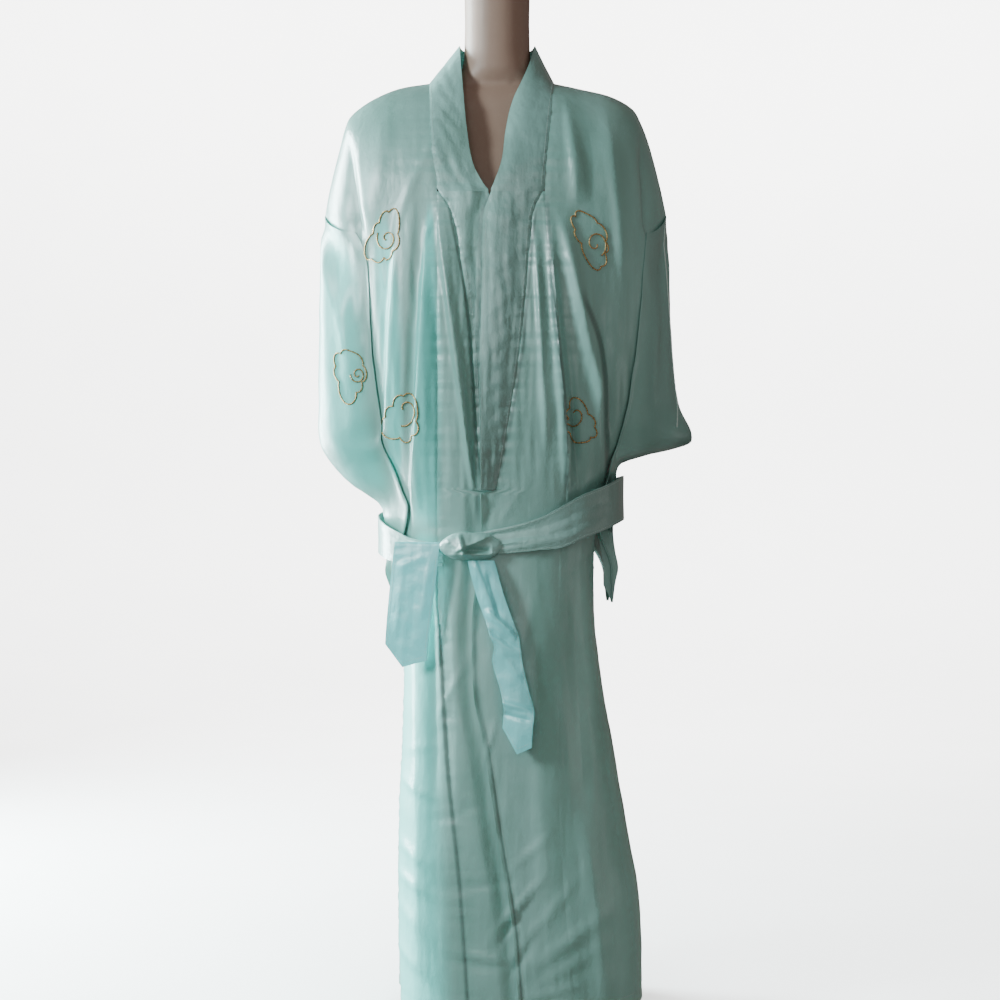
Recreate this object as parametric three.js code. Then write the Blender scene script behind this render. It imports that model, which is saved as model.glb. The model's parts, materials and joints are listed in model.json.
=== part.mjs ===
// A satin kimono robe with a tie belt, worn by a limbless dress form on a round foot.
// Millimetres, +Z up, the front faces -Y, +X is the viewer's right; the origin is on the floor
// under the middle of the foot. "Left" and "right" in names are the viewer's.
import * as THREE from "three";

// Driving sizes of the cloth
const wall = 1.6; // thickness of a single layer of satin
const bandWall = 2.4; // the collar band and the belt are folded double
const seamGap = 0.5; // room between two sewn pieces
const shoulderRoom = seamGap * 0.75; // from the shoulder line to the middle of either wall
const sideRoom = seamGap * 0.6; // from the side seam to the panel's edge
const hemLeft = 20; // height of the hem over the floor, at the viewer's left
const hemRight = 27;
const hemTurn = 1.2; // radians round to either side over which the hem changes its height
const neckPoint = 1314; // height where collar and shoulder meet
const shoulderRound = 150; // depth below the shoulder line in which the cloth turns level
const armholeTop = 1127; // the sleeve starts here
const underarm = 677; // the armhole ends here, one sleeve depth (450) lower
const collarJoint = 1144; // the band is pieced here
const collarEnd = 739; // the band stops here, above the waist
const okumiTop = 1143; // the overlap panels narrow to nothing here
const underLayer = { depth: 5.5, start: 27, run: 22 }; // the wrapped-under front lies lower
const sectionPower = 2.4; // 2 is an ellipse, more is squarer

// Driving sizes of the dress form
const poleRadius = 14;
const footRadius = 120;
const footThickness = 8;

// Rows of the panels' grids: the same on every panel, so that their seams meet row by row
const turnRows = 8; // over the shoulder
const bandRows = 9; // beside the collar band's lower ends
const skirtRows = 10; // below it
const panelRows = turnRows + bandRows + 1 + skirtRows;
const turnFoot = 1129; // where the rows beside the band begin
const levelFoot = 1040; // below this the rows are level
const bandFootRoom = 2; // the rows above and below the band's end stand this far from it
const napeColumns = 4; // columns of the back under each half of the collar's nape
const columns = { back: 32, front: 15, okumi: 5, bandEnd: 3, sleeve: 24, belt: 44 };
const bandColumns = 3; // across the collar band and the belt
const sleeveRows = 14;

const mint = 0x9fdccb;
const cream = 0xe9e1d3;

// Half widths to either side and depths to front and back of the robe, at heights z
const bodyLevels = [
  { z: 1330, left: 246, right: 242, front: 112, back: 112 },
  { z: 1127, left: 244, right: 240, front: 116, back: 118 },
  { z: 1050, left: 218, right: 226, front: 122, back: 118 },
  { z: 966, left: 203, right: 214, front: 125, back: 116 },
  { z: 860, left: 184, right: 194, front: 119, back: 112 },
  { z: 770, left: 152, right: 160, front: 110, back: 106 },
  { z: 700, left: 138, right: 142, front: 105, back: 101 },
  { z: 640, left: 134, right: 137, front: 105, back: 102 },
  { z: 560, left: 131, right: 138, front: 111, back: 112 },
  { z: 470, left: 132, right: 148, front: 118, back: 122 },
  { z: 366, left: 135, right: 166, front: 124, back: 132 },
  { z: 256, left: 140, right: 185, front: 130, back: 141 },
  { z: 150, left: 140, right: 201, front: 135, back: 148 },
  { z: 20, left: 137, right: 205, front: 140, back: 154 },
];

// The shoulder line from the neck point out to the top of the armhole, half widths at heights
const shoulderLine = [
  { left: 95, leftZ: 1314, right: 80, rightZ: 1314 },
  { left: 138, leftZ: 1307, right: 118, rightZ: 1306 },
  { left: 173, leftZ: 1293, right: 160, rightZ: 1296 },
  { left: 199, leftZ: 1276, right: 191, rightZ: 1279 },
  { left: 211, leftZ: 1262, right: 203, rightZ: 1259 },
  { left: 223, leftZ: 1222, right: 217, rightZ: 1222 },
  { left: 237, leftZ: 1165, right: 232, rightZ: 1165 },
  { left: 244, leftZ: 1127, right: 240, rightZ: 1127 },
];

// Seams and edges of the fronts, as x at heights z
const seamLeft = [
  { z: 1314, x: -95 },
  { z: 1201, x: -89 },
  { z: 1153, x: -82 },
  { z: 955, x: -81 },
  { z: 589, x: -82 },
  { z: 540, x: -77 },
  { z: 366, x: -66 },
  { z: 213, x: -50 },
  { z: 77, x: -40 },
  { z: 20, x: -37 },
];
const seamRight = [
  { z: 1314, x: 80 },
  { z: 1201, x: 69 },
  { z: 1150, x: 65 },
  { z: 1091, x: 68 },
  { z: 955, x: 80 },
  { z: 833, x: 93 },
  { z: 725, x: 94 },
  { z: 640, x: 85 },
  { z: 454, x: 84 },
  { z: 253, x: 86 },
  { z: 20, x: 108 },
];
const bandOuterLeft = [
  { z: 1150, x: -79 },
  { z: 1116, x: -62 },
  { z: 1035, x: -46 },
  { z: 952, x: -35 },
  { z: 821, x: -27 },
  { z: 739, x: -20 },
];
const bandOuterRight = [
  { z: 1150, x: 62 },
  { z: 1119, x: 50 },
  { z: 1078, x: 45 },
  { z: 996, x: 38 },
  { z: 928, x: 31 },
  { z: 847, x: 18 },
  { z: 739, x: -1 },
];
const bandInnerLeft = [
  { z: 1144, x: -12 },
  { z: 1100, x: 4 },
  { z: 1035, x: 15 },
  { z: 900, x: 30 },
  { z: 739, x: 41 },
];
const overEdge = [
  { z: 1144, x: -8 },
  { z: 1112, x: -18 },
  { z: 1023, x: -20 },
  { z: 900, x: -23 },
  { z: 745, x: -22 },
  { z: 664, x: -22 },
  { z: 603, x: -30 },
  { z: 555, x: -34 },
  { z: 458, x: -31 },
  { z: 397, x: -19 },
  { z: 266, x: 1 },
  { z: 161, x: 19 },
  { z: 53, x: 28 },
  { z: 20, x: 29 },
];
const underEdge = [
  { z: 739, x: 41 },
  { z: 400, x: 46 },
  { z: 20, x: 64 },
];

// Angle of the side seams round from the front, in degrees; on the right it is drawn forward
const sideSeams = [
  { z: 677, left: 90, right: 90 },
  { z: 600, left: 90, right: 76 },
  { z: 520, left: 90, right: 66 },
  { z: 300, left: 90, right: 62 },
  { z: 20, left: 90, right: 68 },
];

// Half opening of the armhole slit, in degrees each way from the side
const armholeOpening = [
  { z: 1127, angle: 2 },
  { z: 1090, angle: 7 },
  { z: 1000, angle: 13 },
  { z: 850, angle: 15 },
  { z: 740, angle: 9 },
  { z: 677, angle: 0.4 },
];

// Folds of the fronts: each runs from its top to its foot, a ridge if height is over 0
const frontFolds = [
  { topX: -84, topZ: 1140, footX: -34, footZ: 740, width: 10, height: 7 },
  { topX: -92, topZ: 1135, footX: -112, footZ: 740, width: 11, height: 7 },
  { topX: -86, topZ: 1120, footX: -80, footZ: 760, width: 9, height: -5 },
  { topX: -132, topZ: 1080, footX: -134, footZ: 790, width: 9, height: -5 },
  { topX: 66, topZ: 1136, footX: 100, footZ: 760, width: 9, height: 7 },
  { topX: 52, topZ: 1080, footX: 68, footZ: 870, width: 8, height: 4 },
  { topX: 74, topZ: 1130, footX: 146, footZ: 930, width: 10, height: 6 },
  { topX: 72, topZ: 1090, footX: 122, footZ: 780, width: 8, height: -5 },
  { topX: 150, topZ: 1040, footX: 158, footZ: 850, width: 10, height: -6 },
  { topX: 104, topZ: 860, footX: 122, footZ: 725, width: 9, height: -6 },
  { topX: 138, topZ: 900, footX: 142, footZ: 740, width: 10, height: 6 },
  { topX: -112, topZ: 640, footX: -106, footZ: 60, width: 15, height: 7 },
  { topX: -88, topZ: 620, footX: -84, footZ: 260, width: 9, height: -4 },
  { topX: -58, topZ: 600, footX: -52, footZ: 300, width: 10, height: 4 },
  { topX: 8, topZ: 620, footX: 22, footZ: 420, width: 12, height: -4 },
  { topX: 48, topZ: 640, footX: 52, footZ: 120, width: 15, height: 6 },
  { topX: 104, topZ: 640, footX: 128, footZ: 220, width: 14, height: -7 },
  { topX: 118, topZ: 330, footX: 152, footZ: 30, width: 17, height: 8 },
];

// Flutes of the back, by degrees from the middle of the back, deepest at the hem or at the waist
const backFolds = [
  { angle: -66, topZ: 570, footZ: 0, width: 9, waist: 0, hem: 17 },
  { angle: -44, topZ: 570, footZ: 0, width: 8, waist: 0, hem: 22 },
  { angle: -19, topZ: 650, footZ: 0, width: 8, waist: 3, hem: 20 },
  { angle: 6, topZ: 650, footZ: 0, width: 9, waist: 3, hem: 25 },
  { angle: 31, topZ: 600, footZ: 0, width: 8, waist: 1, hem: 19 },
  { angle: 56, topZ: 570, footZ: 0, width: 9, waist: 0, hem: 22 },
  { angle: -24, topZ: 1000, footZ: 740, width: 6, waist: 6, hem: 8 },
  { angle: -8, topZ: 1080, footZ: 740, width: 5, waist: 6, hem: 9 },
  { angle: 9, topZ: 1040, footZ: 740, width: 5, waist: 6, hem: 9 },
  { angle: 25, topZ: 980, footZ: 740, width: 6, waist: 6, hem: 8 },
];

// The belt's middle height and its width, gathered at the knot, by degrees round from the front
const beltCourse = [
  { angle: -8, z: 663, width: 28 },
  { angle: 15, z: 679, width: 44 },
  { angle: 25, z: 688, width: 56 },
  { angle: 39, z: 704, width: 60 },
  { angle: 75, z: 726, width: 62 },
  { angle: 105, z: 728, width: 60 },
  { angle: 150, z: 716, width: 58 },
  { angle: 180, z: 704, width: 57 },
  { angle: 210, z: 694, width: 56 },
  { angle: 240, z: 684, width: 55 },
  { angle: 270, z: 678, width: 52 },
  { angle: 300, z: 664, width: 45 },
  { angle: 320, z: 654, width: 36 },
  { angle: 338, z: 650, width: 30 },
];
const beltSection = { left: 167.4, right: 178.8, front: 110, back: 111 };

// Sleeves: outermost half width, x of the front fold and angle of the back fold, at heights z
const sleeveLevelsLeft = [
  { z: 1127, outer: 249, frontFold: 238, backFold: 100 },
  { z: 1098, outer: 250, frontFold: 206, backFold: 118 },
  { z: 1070, outer: 250, frontFold: 193, backFold: 126 },
  { z: 955, outer: 252, frontFold: 187, backFold: 133 },
  { z: 861, outer: 253, frontFold: 174, backFold: 136 },
  { z: 806, outer: 250, frontFold: 160, backFold: 137 },
  { z: 768, outer: 228, frontFold: 146, backFold: 137 },
  { z: 744, outer: 204, frontFold: 137, backFold: 136 },
  { z: 727, outer: 177, frontFold: 130, backFold: 135 },
  { z: 714, outer: 165, frontFold: 125, backFold: 134 },
  { z: 646, outer: 165, frontFold: 112, backFold: 134 },
  { z: 576, outer: 166, frontFold: 106, backFold: 134 },
];
const sleeveLevelsRight = [
  { z: 1127, outer: 245, frontFold: 234, backFold: 100 },
  { z: 1098, outer: 243, frontFold: 214, backFold: 118 },
  { z: 1070, outer: 242, frontFold: 207, backFold: 126 },
  { z: 955, outer: 247, frontFold: 196, backFold: 133 },
  { z: 861, outer: 257, frontFold: 182, backFold: 136 },
  { z: 808, outer: 275, frontFold: 168, backFold: 137 },
  { z: 795, outer: 240, frontFold: 164, backFold: 137 },
  { z: 784, outer: 186, frontFold: 158, backFold: 137 },
  { z: 771, outer: 171, frontFold: 154, backFold: 136 },
  { z: 760, outer: 169, frontFold: 152, backFold: 136 },
  { z: 695, outer: 170, frontFold: 134, backFold: 134 },
  { z: 640, outer: 188, frontFold: 126, backFold: 134 },
  { z: 587, outer: 182, frontFold: 122, backFold: 134 },
];
const sleeveFoldTop = 1096; // the front and back folds start here
const sleeveTopRoom = 2; // from the top of the armhole to the sleeve's upper fold
const wristTop = { left: 806, right: 808 }; // the end of the sleeve's upper fold
const wristCorner = { left: 576, right: 587 }; // its lower corner, tucked under the belt
const wristRise = { left: 1, right: 0.6 }; // how early the wrist's rim climbs, 1 is evenly

// How far out the sleeve's layers lie from the body, hanging free and pressed by the belt
const sleeveLayers = {
  outerShare: 6 / 12, // of each half of its columns; the rest turns at the fold and lies inside
  foldShare: 8 / 12,
  foldBulge: 0.028, // how far round from the body the fold swells, in radians
  lapped: { free: 3.3, pressed: 4.2, swell: 1.2 },
  folded: { free: 7.6, pressed: 6.8 },
  swellPower: { free: 1.3, pressed: 2.2 },
  leastReach: 3,
};
const beltPress = { foot: 620, top: 800, run: 30 }; // heights between which the belt presses
const cinch = { share: 0.96, reach: 62 }; // how much of each fold the belt flattens, and how far
const foldFade = { rise: 5, early: 0.3, fall: 6, late: 0.6 }; // how folds start and end
const sideFade = 0.35; // folds fade out where the cloth turns round the side

// The collar band at the neck: inner edge against the height of the outer seam, down each side
const neckBandLeft = [
  { seamZ: 1314, x: -53, y: -6, z: 1368 },
  { seamZ: 1300, x: -51, y: -36, z: 1340 },
  { seamZ: 1272, x: -47, y: -64, z: 1290 },
  { seamZ: 1232, x: -42, y: -88, z: 1236 },
  { seamZ: 1190, x: -33, y: -102, z: 1184 },
  { seamZ: 1150, x: -13, y: -108, z: 1146 },
];
const neckBandRight = [
  { seamZ: 1314, x: 53, y: -6, z: 1368 },
  { seamZ: 1300, x: 42, y: -40, z: 1328 },
  { seamZ: 1272, x: 22, y: -69, z: 1278 },
  { seamZ: 1232, x: 12, y: -92, z: 1232 },
  { seamZ: 1190, x: 6, y: -110, z: 1186 },
  { seamZ: 1150, x: -8, y: -117, z: 1146 },
];
const nape = {
  seamDepth: 76, // how far behind the middle the band's seam passes
  seamZ: 1310,
  seamRise: 1.5,
  edgeHalf: 53, // the band's upper edge: half its width, its depth behind and its height
  edgeDepth: 60,
  edgeShift: 6,
  edgeZ: 1368,
};
const bandClear = 0.024; // share of the band's width that its seam edge stands off the panels
const bandEndFoot = 3.5; // the band's lower ends stop this far over the panels' rows
const bandEndPuff = 1.2;

// The belt's hanging ends: their edges and their depth at heights z
const tailLeft = [
  { z: 664, left: -140, right: -77.9 },
  { z: 600, left: -147, right: -85 },
  { z: 528, left: -153, right: -94 },
  { z: 497, left: -153, right: -96 },
];
const tailLeftCut = { left: 528, tip: 497, right: 507, tipShare: 0.42 }; // its slanted end
const tailLeftDepth = { left: -94, right: -113, swell: 4 };
const tailLeftFold = { z: 664, drop: 3, rise: 6, half: 3 }; // the loop over the belt's edge
const tailGrid = { leftColumns: 5, leftRows: 14, foldRows: 4, rightColumns: 4, rightRows: 16 };
const tailRightSwell = 2.5;
const tailRight = [
  { z: 642.6, left: -40, right: -4, y: -114.4 },
  { z: 600, left: -29, right: 8, y: -121 },
  { z: 550, left: -12, right: 26, y: -126 },
  { z: 528, left: -4, right: 31, y: -129 },
  { z: 506, left: -6, right: 34, y: -127 },
  { z: 470, left: 4, right: 42, y: -130 },
  { z: 440, left: 10, right: 49, y: -132 },
  { z: 420, left: 8, right: 46, y: -131 },
  { z: 402, left: 16, right: 44, y: -130 },
  { z: 383, left: 25, right: 29, y: -130 },
];
const knot = {
  x: -36,
  y: -113.3,
  z: 662,
  halfWidth: 41.5,
  halfHeight: 20.6,
  bulge: 15, // towards the front
  flat: 2, // towards the belt
  pinch: 0.1, // a little slimmer at its middle
};

// The dress form: half widths and depths at heights z
const formLevels = [
  { z: 1455, left: 47, right: 47, front: 50, back: 50 },
  { z: 1400, left: 46, right: 46, front: 49, back: 50 },
  { z: 1350, left: 47, right: 47, front: 50, back: 51 },
  { z: 1330, left: 52, right: 51, front: 51, back: 53 },
  { z: 1317, left: 66, right: 60, front: 46, back: 50 },
  { z: 1307, left: 100, right: 84, front: 40, back: 44 },
  { z: 1301, left: 130, right: 110, front: 44, back: 48 },
  { z: 1292, left: 158, right: 146, front: 50, back: 56 },
  { z: 1281, left: 178, right: 170, front: 54, back: 62 },
  { z: 1268, left: 196, right: 188, front: 56, back: 66 },
  { z: 1254, left: 211.6, right: 203.6, front: 60, back: 70 },
  { z: 1235, left: 203, right: 197, front: 66, back: 76 },
  { z: 1205, left: 183, right: 180, front: 78, back: 82 },
  { z: 1165, left: 160, right: 160, front: 90, back: 86 },
  { z: 1110, left: 154, right: 154, front: 98, back: 86 },
  { z: 1050, left: 147, right: 147, front: 96, back: 83 },
  { z: 980, left: 133, right: 133, front: 86, back: 78 },
  { z: 880, left: 119, right: 119, front: 76, back: 74 },
  { z: 780, left: 121, right: 121, front: 81, back: 80 },
  { z: 690, left: 125, right: 125, front: 88, back: 89 },
  { z: 640, left: 123, right: 123, front: 88, back: 91 },
  { z: 602, left: 114, right: 114, front: 82, back: 84 },
];
const formPower = 2.1;
const formSegments = 28;
const formLongStep = 75; // taller steps between its levels are halved
const poleGap = 0.3; // between the pole and what it meets at either end
const footHub = { radius: 27, height: 24 };

const radians = (degrees) => (degrees * Math.PI) / 180;
const mix = (a, b, t) => a + (b - a) * t;
const clamp = (value) => Math.min(Math.max(value, 0), 1);
const smooth = (value) => clamp(value) ** 2 * (3 - 2 * clamp(value));

// A smooth value of one column at a place, through rows whose keys only rise or only fall
function valueAt(rows, key, column, place) {
  const last = rows.length - 1;
  const way = Math.sign(rows[last][key] - rows[0][key]);
  if ((place - rows[0][key]) * way <= 0) return rows[0][column];
  if ((place - rows[last][key]) * way >= 0) return rows[last][column];
  let i = 0;
  while ((place - rows[i + 1][key]) * way > 0) i += 1;
  const slope = (j) => {
    const before = rows[Math.max(j - 1, 0)];
    const after = rows[Math.min(j + 1, last)];
    return (after[column] - before[column]) / (after[key] - before[key]);
  };
  const step = rows[i + 1][key] - rows[i][key];
  const t = (place - rows[i][key]) / step;
  const start = rows[i][column] * (1 + 2 * t) * (1 - t) ** 2 + step * slope(i) * t * (1 - t) ** 2;
  const end = rows[i + 1][column] * t * t * (3 - 2 * t) - step * slope(i + 1) * t * t * (1 - t);
  return start + end;
}

const xAt = (rows, z) => valueAt(rows, "z", "x", z);

// Half width of the robe's body on the side that x or an angle falls on
const halfWidth = (levels, z, sign) => valueAt(levels, "z", sign < 0 ? "left" : "right", z);
const depthAt = (levels, z, forward) => valueAt(levels, "z", forward ? "front" : "back", z);

// A superellipse point, at an angle round from the front; positive angles go to the right
function sectionPoint(levels, angle, z, power = sectionPower) {
  const s = Math.sin(angle);
  const c = Math.cos(angle);
  const bend = 2 / power;
  const x = Math.sign(s) * Math.abs(s) ** bend * halfWidth(levels, z, s);
  const y = -Math.sign(c) * Math.abs(c) ** bend * depthAt(levels, z, c > 0);
  return new THREE.Vector2(x, y);
}

// The angle at which the front of the body passes through x
function angleOf(x, z) {
  const share = clamp(Math.abs(x) / halfWidth(bodyLevels, z, x));
  return Math.sign(x) * Math.asin(share ** (sectionPower / 2));
}

// Height of the belt's middle at an angle, in radians from the front
function beltHeight(angle) {
  const degrees = ((angle * 180) / Math.PI + 375) % 360;
  return valueAt(beltCourse, "angle", "z", degrees - 15);
}

// How far a fold lifts the cloth at a place
function relief(angle, x, z) {
  let lift = 0;
  if (Math.cos(angle) > 0) {
    for (const fold of frontFolds) {
      const along = (fold.topZ - z) / (fold.topZ - fold.footZ);
      if (along < -0.2 || along > 1.2) continue;
      const across = (x - mix(fold.topX, fold.footX, along)) / fold.width;
      const ends =
        smooth(along * foldFade.rise + foldFade.early) *
        smooth((1 - along) * foldFade.fall + foldFade.late);
      lift += fold.height * ends * Math.exp(-across * across);
    }
  } else {
    const fromBack = (Math.atan2(Math.sin(angle), -Math.cos(angle)) * 180) / Math.PI;
    for (const fold of backFolds) {
      const along = (fold.topZ - z) / (fold.topZ - fold.footZ);
      if (along < 0 || along > 1.2) continue;
      const across = (fromBack - fold.angle) / fold.width;
      const depth = mix(fold.waist, fold.hem, along) * smooth(along * foldFade.rise);
      lift += depth * Math.exp(-across * across);
    }
  }
  const sides = smooth(Math.abs(Math.cos(angle)) / sideFade);
  const cinched = 1 - cinch.share * Math.exp(-(((z - beltHeight(angle)) / cinch.reach) ** 2));
  return lift * sides * cinched;
}

// A point of the body's cloth; top is the height of the shoulder line or neckline over it,
// topY how far that line lies in front of or behind the middle
function bodyPoint(angle, z, out = 0, top = 4000, topY = 0) {
  const flat = sectionPoint(bodyLevels, angle, z);
  const below = clamp((top - z) / shoulderRound);
  const turned = Math.sqrt(1 - (1 - below) ** 2);
  const w = halfWidth(bodyLevels, z, flat.x);
  const d = depthAt(bodyLevels, z, flat.y < 0);
  const nx = (Math.sign(flat.x) * Math.abs(flat.x / w) ** (sectionPower - 1)) / w;
  const ny = (Math.sign(flat.y) * Math.abs(flat.y / d) ** (sectionPower - 1)) / d;
  const size = Math.hypot(nx, ny);
  const lift = out + relief(angle, flat.x, z) * turned;
  return new THREE.Vector3(
    flat.x + (nx / size) * lift,
    mix(topY, flat.y, turned) + (ny / size) * lift * turned,
    z,
  );
}

// Where the shoulder line is at a share of its length from the neck point to the armhole
const shoulderLengths = { left: [0], right: [0] };
for (const side of ["left", "right"]) {
  for (let i = 1; i < shoulderLine.length; i += 1) {
    const a = shoulderLine[i - 1];
    const b = shoulderLine[i];
    const step = Math.hypot(b[side] - a[side], b[side + "Z"] - a[side + "Z"]);
    shoulderLengths[side].push(shoulderLengths[side][i - 1] + step);
  }
}

function shoulderPoint(side, share) {
  const lengths = shoulderLengths[side];
  const rows = shoulderLine.map((row, i) => ({ run: lengths[i], x: row[side], z: row[side + "Z"] }));
  const run = share * lengths[lengths.length - 1];
  return {
    x: valueAt(rows, "run", "x", run) * (side === "left" ? -1 : 1),
    z: valueAt(rows, "run", "z", run),
  };
}

const hemAt = (angle) => mix(hemLeft, hemRight, 0.5 + 0.5 * Math.sin(angle));

// How far the wrapped-under layer is pressed back where the other front lies over it
const layerOut = (x, z) =>
  -underLayer.depth * smooth((x - xAt(overEdge, z) + underLayer.start) / underLayer.run);

// A wall of cloth over a grid: pointAt(u, v) gives its middle, both from 0 to 1; where it is
// seamed along its first row, upright turns the cut edge to stand level with its neighbour's.
// Along its first and last columns the surface is followed past the edge, so that two pieces
// that meet there lean alike.
function clothMesh(name, columns, rows, thickness, pointAt, upright = () => false) {
  const pastEdge = 0.01;
  const geometry = new THREE.BoxGeometry(1, 1, 1, columns, rows, 1);
  const place = geometry.getAttribute("position");
  const middle = [];
  for (let j = 0; j <= rows; j += 1) {
    middle.push([]);
    for (let i = 0; i <= columns; i += 1) middle[j].push(pointAt(i / columns, j / rows));
  }
  const normalAt = (i, j) => {
    let across = middle[j][Math.min(i + 1, columns)].clone().sub(middle[j][Math.max(i - 1, 0)]);
    if (i === 0 || i === columns) {
      const u = i / columns;
      across = pointAt(u + pastEdge, j / rows).sub(pointAt(u - pastEdge, j / rows));
    }
    const down = middle[Math.min(j + 1, rows)][i].clone().sub(middle[Math.max(j - 1, 0)][i]);
    const normal = across.cross(down);
    if (j === 0 && upright(i / columns)) normal.setY(0);
    return normal.normalize();
  };
  for (let k = 0; k < place.count; k += 1) {
    const i = Math.round((place.getX(k) + 0.5) * columns);
    const j = Math.round((0.5 - place.getY(k)) * rows);
    const shift = normalAt(i, j).multiplyScalar(place.getZ(k) * thickness);
    const at = middle[j][i].clone().add(shift);
    place.setXYZ(k, at.x, at.y, at.z);
  }
  return finished(name, geometry, mint);
}

// The mesh of a closed geometry, turned to face outwards
function finished(name, geometry, colour, roughness = 0.35) {
  const place = geometry.getAttribute("position");
  const index = geometry.getIndex();
  const corner = (k) => new THREE.Vector3().fromBufferAttribute(place, index.getX(k));
  let volume = 0;
  for (let k = 0; k < index.count; k += 3) {
    volume += corner(k).dot(corner(k + 1).cross(corner(k + 2)));
  }
  if (volume < 0) {
    for (let k = 0; k < index.count; k += 3) {
      const second = index.getX(k + 1);
      index.setX(k + 1, index.getX(k + 2));
      index.setX(k + 2, second);
    }
  }
  geometry.computeVertexNormals();
  const material = new THREE.MeshStandardMaterial({ color: colour, roughness, metalness: 0 });
  const mesh = new THREE.Mesh(geometry, material);
  mesh.name = name;
  return mesh;
}

// The height of a panel's row, in a column that starts at top and ends at hem
function rowHeight(row, top, hem) {
  const bandFoot = turnRows + bandRows;
  let z = mix(collarEnd - bandFootRoom, hem, (row - bandFoot - 1) / skirtRows);
  if (row <= bandFoot) z = mix(turnFoot, collarEnd + bandFootRoom, (row - turnRows) / bandRows);
  if (row <= turnRows) z = mix(neckPoint, turnFoot, (row / turnRows) ** 1.5);
  return z > levelFoot ? mix(levelFoot, top, (z - levelFoot) / (neckPoint - levelFoot)) : z;
}

// The angle of the panel's outer edge: the armhole above the underarm, the side seam below it
function outerAngle(side, z) {
  const seam = radians(valueAt(sideSeams, "z", side, z));
  const slit = z > underarm ? radians(valueAt(armholeOpening, "z", "angle", z)) : 0;
  return { front: seam - slit, back: seam + slit };
}

// The front panel's point: u from the overlap seam to the side, v from the shoulder to the hem
function frontPoint(side, u, v) {
  const sign = side === "left" ? -1 : 1;
  const seam = side === "left" ? seamLeft : seamRight;
  const topOfColumn = shoulderPoint(side, clamp(u));
  const hem = hemAt(sign * u * hemTurn);
  const z = rowHeight(v * panelRows, topOfColumn.z, hem);
  const innerAt = (height) => Math.abs(angleOf(xAt(seam, height) + sign * seamGap * 0.5, height));
  const w = halfWidth(bodyLevels, z, sign);
  const edgeGap = sideRoom / w;
  const outer = outerAngle(side, z).front - edgeGap;
  const start = Math.abs(angleOf(topOfColumn.x, topOfColumn.z)) - innerAt(topOfColumn.z);
  const settled = smooth((topOfColumn.z - z) / (topOfColumn.z - levelFoot));
  const angle = sign * (innerAt(z) + mix(start, (outer - innerAt(z)) * u, settled));
  return bodyPoint(angle, z, 0, topOfColumn.z, -shoulderRoom);
}

// The back panel's point: u from the left armhole over the nape to the right one
function backPoint(u, v) {
  const napeShare = (2 * napeColumns) / columns.back;
  const from = u * 2 - 1;
  const side = from < 0 ? "left" : "right";
  const sign = from < 0 ? -1 : 1;
  const across = Math.abs(from);
  const corner = shoulderPoint(side, 0);
  let top = { ...corner, y: shoulderRoom };
  if (across > napeShare) {
    top = { ...shoulderPoint(side, (across - napeShare) / (1 - napeShare)), y: shoulderRoom };
  } else {
    const round = radians(90 * (1 - across / napeShare));
    top.x = corner.x * Math.cos(round);
    top.y = mix(shoulderRoom, nape.seamDepth, Math.sin(round));
    top.z = mix(corner.z, nape.seamZ, Math.sin(round));
  }
  const z = rowHeight(v * panelRows, top.z, hemAt(from * hemTurn));
  const w = halfWidth(bodyLevels, z, sign);
  const outer = Math.PI - outerAngle(side, z).back - sideRoom / w;
  const start = Math.abs(angleOf(top.x, top.z));
  const settled = smooth((top.z - z) / (top.z - levelFoot));
  const angle = Math.PI - sign * mix(start, outer * across, settled);
  return bodyPoint(angle, z, 0, top.z, top.y);
}

// The overlap panels: u from their seam to the band's seam, or lower down to their free edge
function okumiPoint(side, u, v) {
  const sign = side === "left" ? -1 : 1;
  const row = turnRows - 1 + v * (panelRows - turnRows + 1);
  const z = v === 0 ? okumiTop : rowHeight(row, neckPoint, hemAt(0));
  const seam = xAt(side === "left" ? seamLeft : seamRight, z) - sign * seamGap * 0.5;
  const band = xAt(side === "left" ? bandOuterLeft : bandOuterRight, z) + sign * seamGap * 0.5;
  const free = xAt(side === "left" ? underEdge : overEdge, z);
  const x = mix(seam, z > collarEnd ? band : free, u);
  return bodyPoint(angleOf(x, z), z, side === "left" ? layerOut(x, z) : 0);
}

// The lower ends of the collar band
function bandEndPoint(side, u, v) {
  const sign = side === "left" ? -1 : 1;
  let z = rowHeight(turnRows - 1 + v * (bandRows + 1), neckPoint, 0);
  if (v === 0) z = collarJoint - seamGap * 0.5;
  if (v === 1) z = collarEnd + bandEndFoot;
  const outer = xAt(side === "left" ? bandOuterLeft : bandOuterRight, z) - sign * seamGap * 0.5;
  const inner = xAt(side === "left" ? bandInnerLeft : overEdge, z);
  const x = mix(outer, inner, u);
  const puff = side === "right" ? bandEndPuff * Math.sin(Math.PI * u) : 0;
  return bodyPoint(angleOf(x, z), z, (side === "left" ? layerOut(x, z) : 0) + puff);
}

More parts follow.
